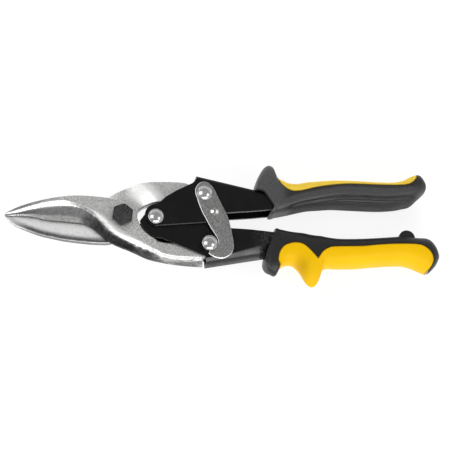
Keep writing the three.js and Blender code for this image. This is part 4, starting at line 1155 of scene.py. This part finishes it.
def grips():
    upper = grip_loft("upper_grip_black", UPPER_GRIP, 8, upper_relief)
    inlay = grip_loft("upper_grip_yellow", UPPER_GRIP, 8, None)
    boolean(inlay, shell_cut("upper", 0.0), "INTERSECT")
    boolean(upper, shell_cut("upper", 0.42), "DIFFERENCE")
    boolean(upper, prism("mouth", UPPER_MOUTH[:1] + dense(UPPER_MOUTH[1:7], 5) + UPPER_MOUTH[7:], -20, 20), "DIFFERENCE")
    boolean(upper, upper_socket(), "DIFFERENCE")
    lower = grip_loft("lower_grip_black", LOWER_GRIP, 8, lower_relief)
    inlay2 = grip_loft("lower_grip_yellow", LOWER_GRIP, 8, None)
    boolean(inlay2, shell_cut("lower", 0.0), "INTERSECT")
    boolean(lower, shell_cut("lower", 0.42), "DIFFERENCE")
    boolean(lower, prism("mouth", LOWER_MOUTH[:2] + dense(LOWER_MOUTH[2:11], 6) + LOWER_MOUTH[11:], -20, 20), "DIFFERENCE")
    boolean(lower, lower_socket(), "DIFFERENCE")
    boolean(lower, prism("pocket", bumper_outline(0.05), -BUMPER[3] - 0.05, BUMPER[3] + 0.05), "DIFFERENCE")
    for ob, body, node, slot, mat in (
        (upper, "upper_lever", "upper_grip", "black_grip", M_BLACK),
        (inlay, "upper_lever", "upper_grip_inlay", "yellow_grip", M_YELLOW),
        (lower, "lower_lever", "lower_grip", "black_grip", M_BLACK),
        (inlay2, "lower_lever", "lower_grip_inlay", "yellow_grip", M_YELLOW),
    ):
        tidy(ob)
        bevel(ob, 0.3, 2, 40)
        shade(ob, 50)
        # painted light: the whole upper inlay gets the lighter yellow
        if ob is inlay:
            paint(ob, "lit", lambda x, y, z: 0.62)
        if mat is M_YELLOW:  # the parting line against the black is dark
            line = dense(UPPER_SHELL, 6) if ob is inlay else dense(LOWER_SHELL, 6) + dense(LOWER_SHELL_2, 6)[1:]
            line = np.array([np.array(a) + (np.array(b) - np.array(a)) * k / 12 for a, b in zip(line[:-1], line[1:]) for k in range(12)])
            paint(ob, "seam", lambda x, y, z: 0.8 * (1 - smooth(0.2, 0.62, float(np.min(np.hypot(line[:, 0] - x, line[:, 1] - y))))))
        if ob is upper:  # painted light: the skin is painted lighter on the fin and along the crest, where it catches more light
            def dust_and_sheen(x, y, z):
                yg = float(np.interp(x, GROOVE_X, GROOVE_Y))
                fin = 1 - smooth(90, 100, x)
                crest = smooth(0.5, 1.8, y - yg) * (1 - smooth(4.6, 6.5, y - yg))
                low = smooth(0.8, 3.5, yg - y)
                return clamp(max(0.82 * fin, mix(0.12 + 0.55 * crest + 0.16 * low, 0.15, smooth(168, 178, x))))
            paint(ob, "dust_and_sheen", dust_and_sheen)
        if ob is inlay2:  # painted shade: a darker yellow patch ahead of the hook
            paint(ob, "painted_hollow_shade", lambda x, y, z: 0.5 * math.exp(-((x - 102.0) / 4.6) ** 2 - ((y + 31.0) / 5.2) ** 2) if z > 0 else 0.0)
        finish_piece(ob, body, [node], mat)
    bump = prism("closing_bumper_pad", bumper_outline(0), -BUMPER[3], BUMPER[3])
    bevel(bump, 0.7, 4, 40)
    shade(bump, 50)
    finish_piece(bump, "lower_lever", ["closing_bumper"], M_BLACK)

front_jaw()
back_jaw()
pivot_bolt()
pivot_nut()
OUTER, INNER = OUT_WALL_OUT + 0.05, IN_WALL_OUT + 0.05
rivet("handle_rivet_domed", HANDLE_PIVOT, OUTER, OUTER, "upper_lever", "handle_rivet")
rivet("upper_tang_rivet_domed", UPPER_TANG, OUTER, LATCH_Z1 + 0.08, "upper_lever", "upper_tang_rivet")
rivet("lower_tang_rivet_domed", LOWER_TANG, INNER, LATCH_Z1 + 0.25, "lower_lever", "lower_tang_rivet", LATCH_Z0 - 0.3)
channel_upper()
channel_lower()
latch_plate()
latch_washer()
torsion_spring()
grips()

# ------------------------------------------------------------------ stage, light, camera
FLOOR_Z = CAD_BOX[0][2] - 0.0003
me = bpy.data.meshes.new("floor")
s = 3.0
me.from_pydata([(-s, -s, FLOOR_Z), (s, -s, FLOOR_Z), (s, s, FLOOR_Z), (-s, s, FLOOR_Z)], [], [(0, 1, 2, 3)])
floor = bpy.data.objects.new("floor", me)
bpy.context.scene.collection.objects.link(floor)
fm = Nodes("floor_white")
cloud = fm.noise(6, 2, 0.5)
fm.set(Base_Color=fm.colour(fm.ramp(cloud, 0.3, 0.7), (0.20, 0.20, 0.20), (0.21, 0.21, 0.21)), Roughness=0.8, Specular_IOR_Level=0.05,
       Emission_Color=(1.0, 1.0, 1.0), Emission_Strength=0.87)
me.materials.append(fm.m)

def area(name, at, target, size, power, colour=(1, 1, 1)):
    d = bpy.data.lights.new(name, "AREA")
    d.shape = "RECTANGLE"
    d.size, d.size_y = size
    d.energy = power
    d.color = colour
    ob = bpy.data.objects.new(name, d)
    bpy.context.scene.collection.objects.link(ob)
    ob.location = at
    ob.rotation_euler = (Vector(target) - Vector(at)).to_track_quat("-Z", "Y").to_euler()
    return ob

MID = Vector((0.06, -0.004, -0.01))

def softbox(name, direction, distance, size, radiance):
    """A softbox of stated brightness, facing the tool from the given direction."""
    d = Vector(direction).normalized()
    ob = area(name, MID + d * distance, MID, size, radiance * math.pi * size[0] * size[1])
    ob.visible_camera = False
    return ob

softbox("left_box", (-0.66, 0.12, 0.68), 1.3, (0.8, 0.8), 2.2)
softbox("right_box", (0.62, -0.25, 0.74), 1.3, (0.7, 0.7), 1.8)
softbox("front_box", (0.04, -0.84, 0.50), 1.25, (1.4, 0.52), 5.2)
softbox("back_fill", (0.15, 0.82, 0.55), 1.3, (1.2, 0.7), 3.0).visible_glossy = False

world = bpy.data.worlds.new("studio")
bpy.context.scene.world = world
world.use_nodes = True
wt = world.node_tree
bg = wt.nodes["Background"]
bg.inputs[0].default_value = (1, 1, 1, 1)
path = wt.nodes.new("ShaderNodeLightPath")
def switch(fac, off, on):
    n = wt.nodes.new("ShaderNodeMix")
    n.data_type = "FLOAT"
    wt.links.new(fac, n.inputs[0])
    for i, v in ((2, off), (3, on)):
        if isinstance(v, float):
            n.inputs[i].default_value = v
        else:
            wt.links.new(v, n.inputs[i])
    return n.outputs[0]
sky = wt.nodes.new("ShaderNodeSeparateXYZ")
wt.links.new(wt.nodes.new("ShaderNodeTexCoord").outputs["Generated"], sky.inputs[0])
rise = wt.nodes.new("ShaderNodeMapRange")
rise.interpolation_type = "SMOOTHSTEP"
wt.links.new(sky.outputs["Z"], rise.inputs["Value"])
for k, v in (("From Min", 0.1), ("From Max", 0.62), ("To Min", 1.0), ("To Max", 0.53)):
    rise.inputs[k].default_value = v
dim = switch(path.outputs["Is Glossy Ray"], 0.12, rise.outputs["Result"])
wt.links.new(switch(path.outputs["Is Camera Ray"], dim, 0.97), bg.inputs[1])

CAM_C = Vector((-0.15, -0.325, 0.933742))
CAM_R = Vector((0.988686, -0.049308, 0.141664))
CAM_U = Vector((0.0, 0.944428, 0.328719))
camera_data = bpy.data.cameras.new("camera")
camera_data.sensor_width = 36
camera_data.lens = 152.513
camera_data.clip_end = 20
camera = bpy.data.objects.new("camera", camera_data)
bpy.context.scene.collection.objects.link(camera)
matrix = Matrix.Identity(4)
for i in range(3):
    matrix[i][0], matrix[i][1], matrix[i][2] = CAM_R[i], CAM_U[i], CAM_C[i]
matrix[0][3], matrix[1][3], matrix[2][3] = -0.105217, -0.36148, 1.027117 - DROP * MM
camera.matrix_world = matrix
bpy.context.scene.camera = camera
bpy.context.scene.view_settings.view_transform = "Standard"
bpy.context.scene.view_settings.look = "None"
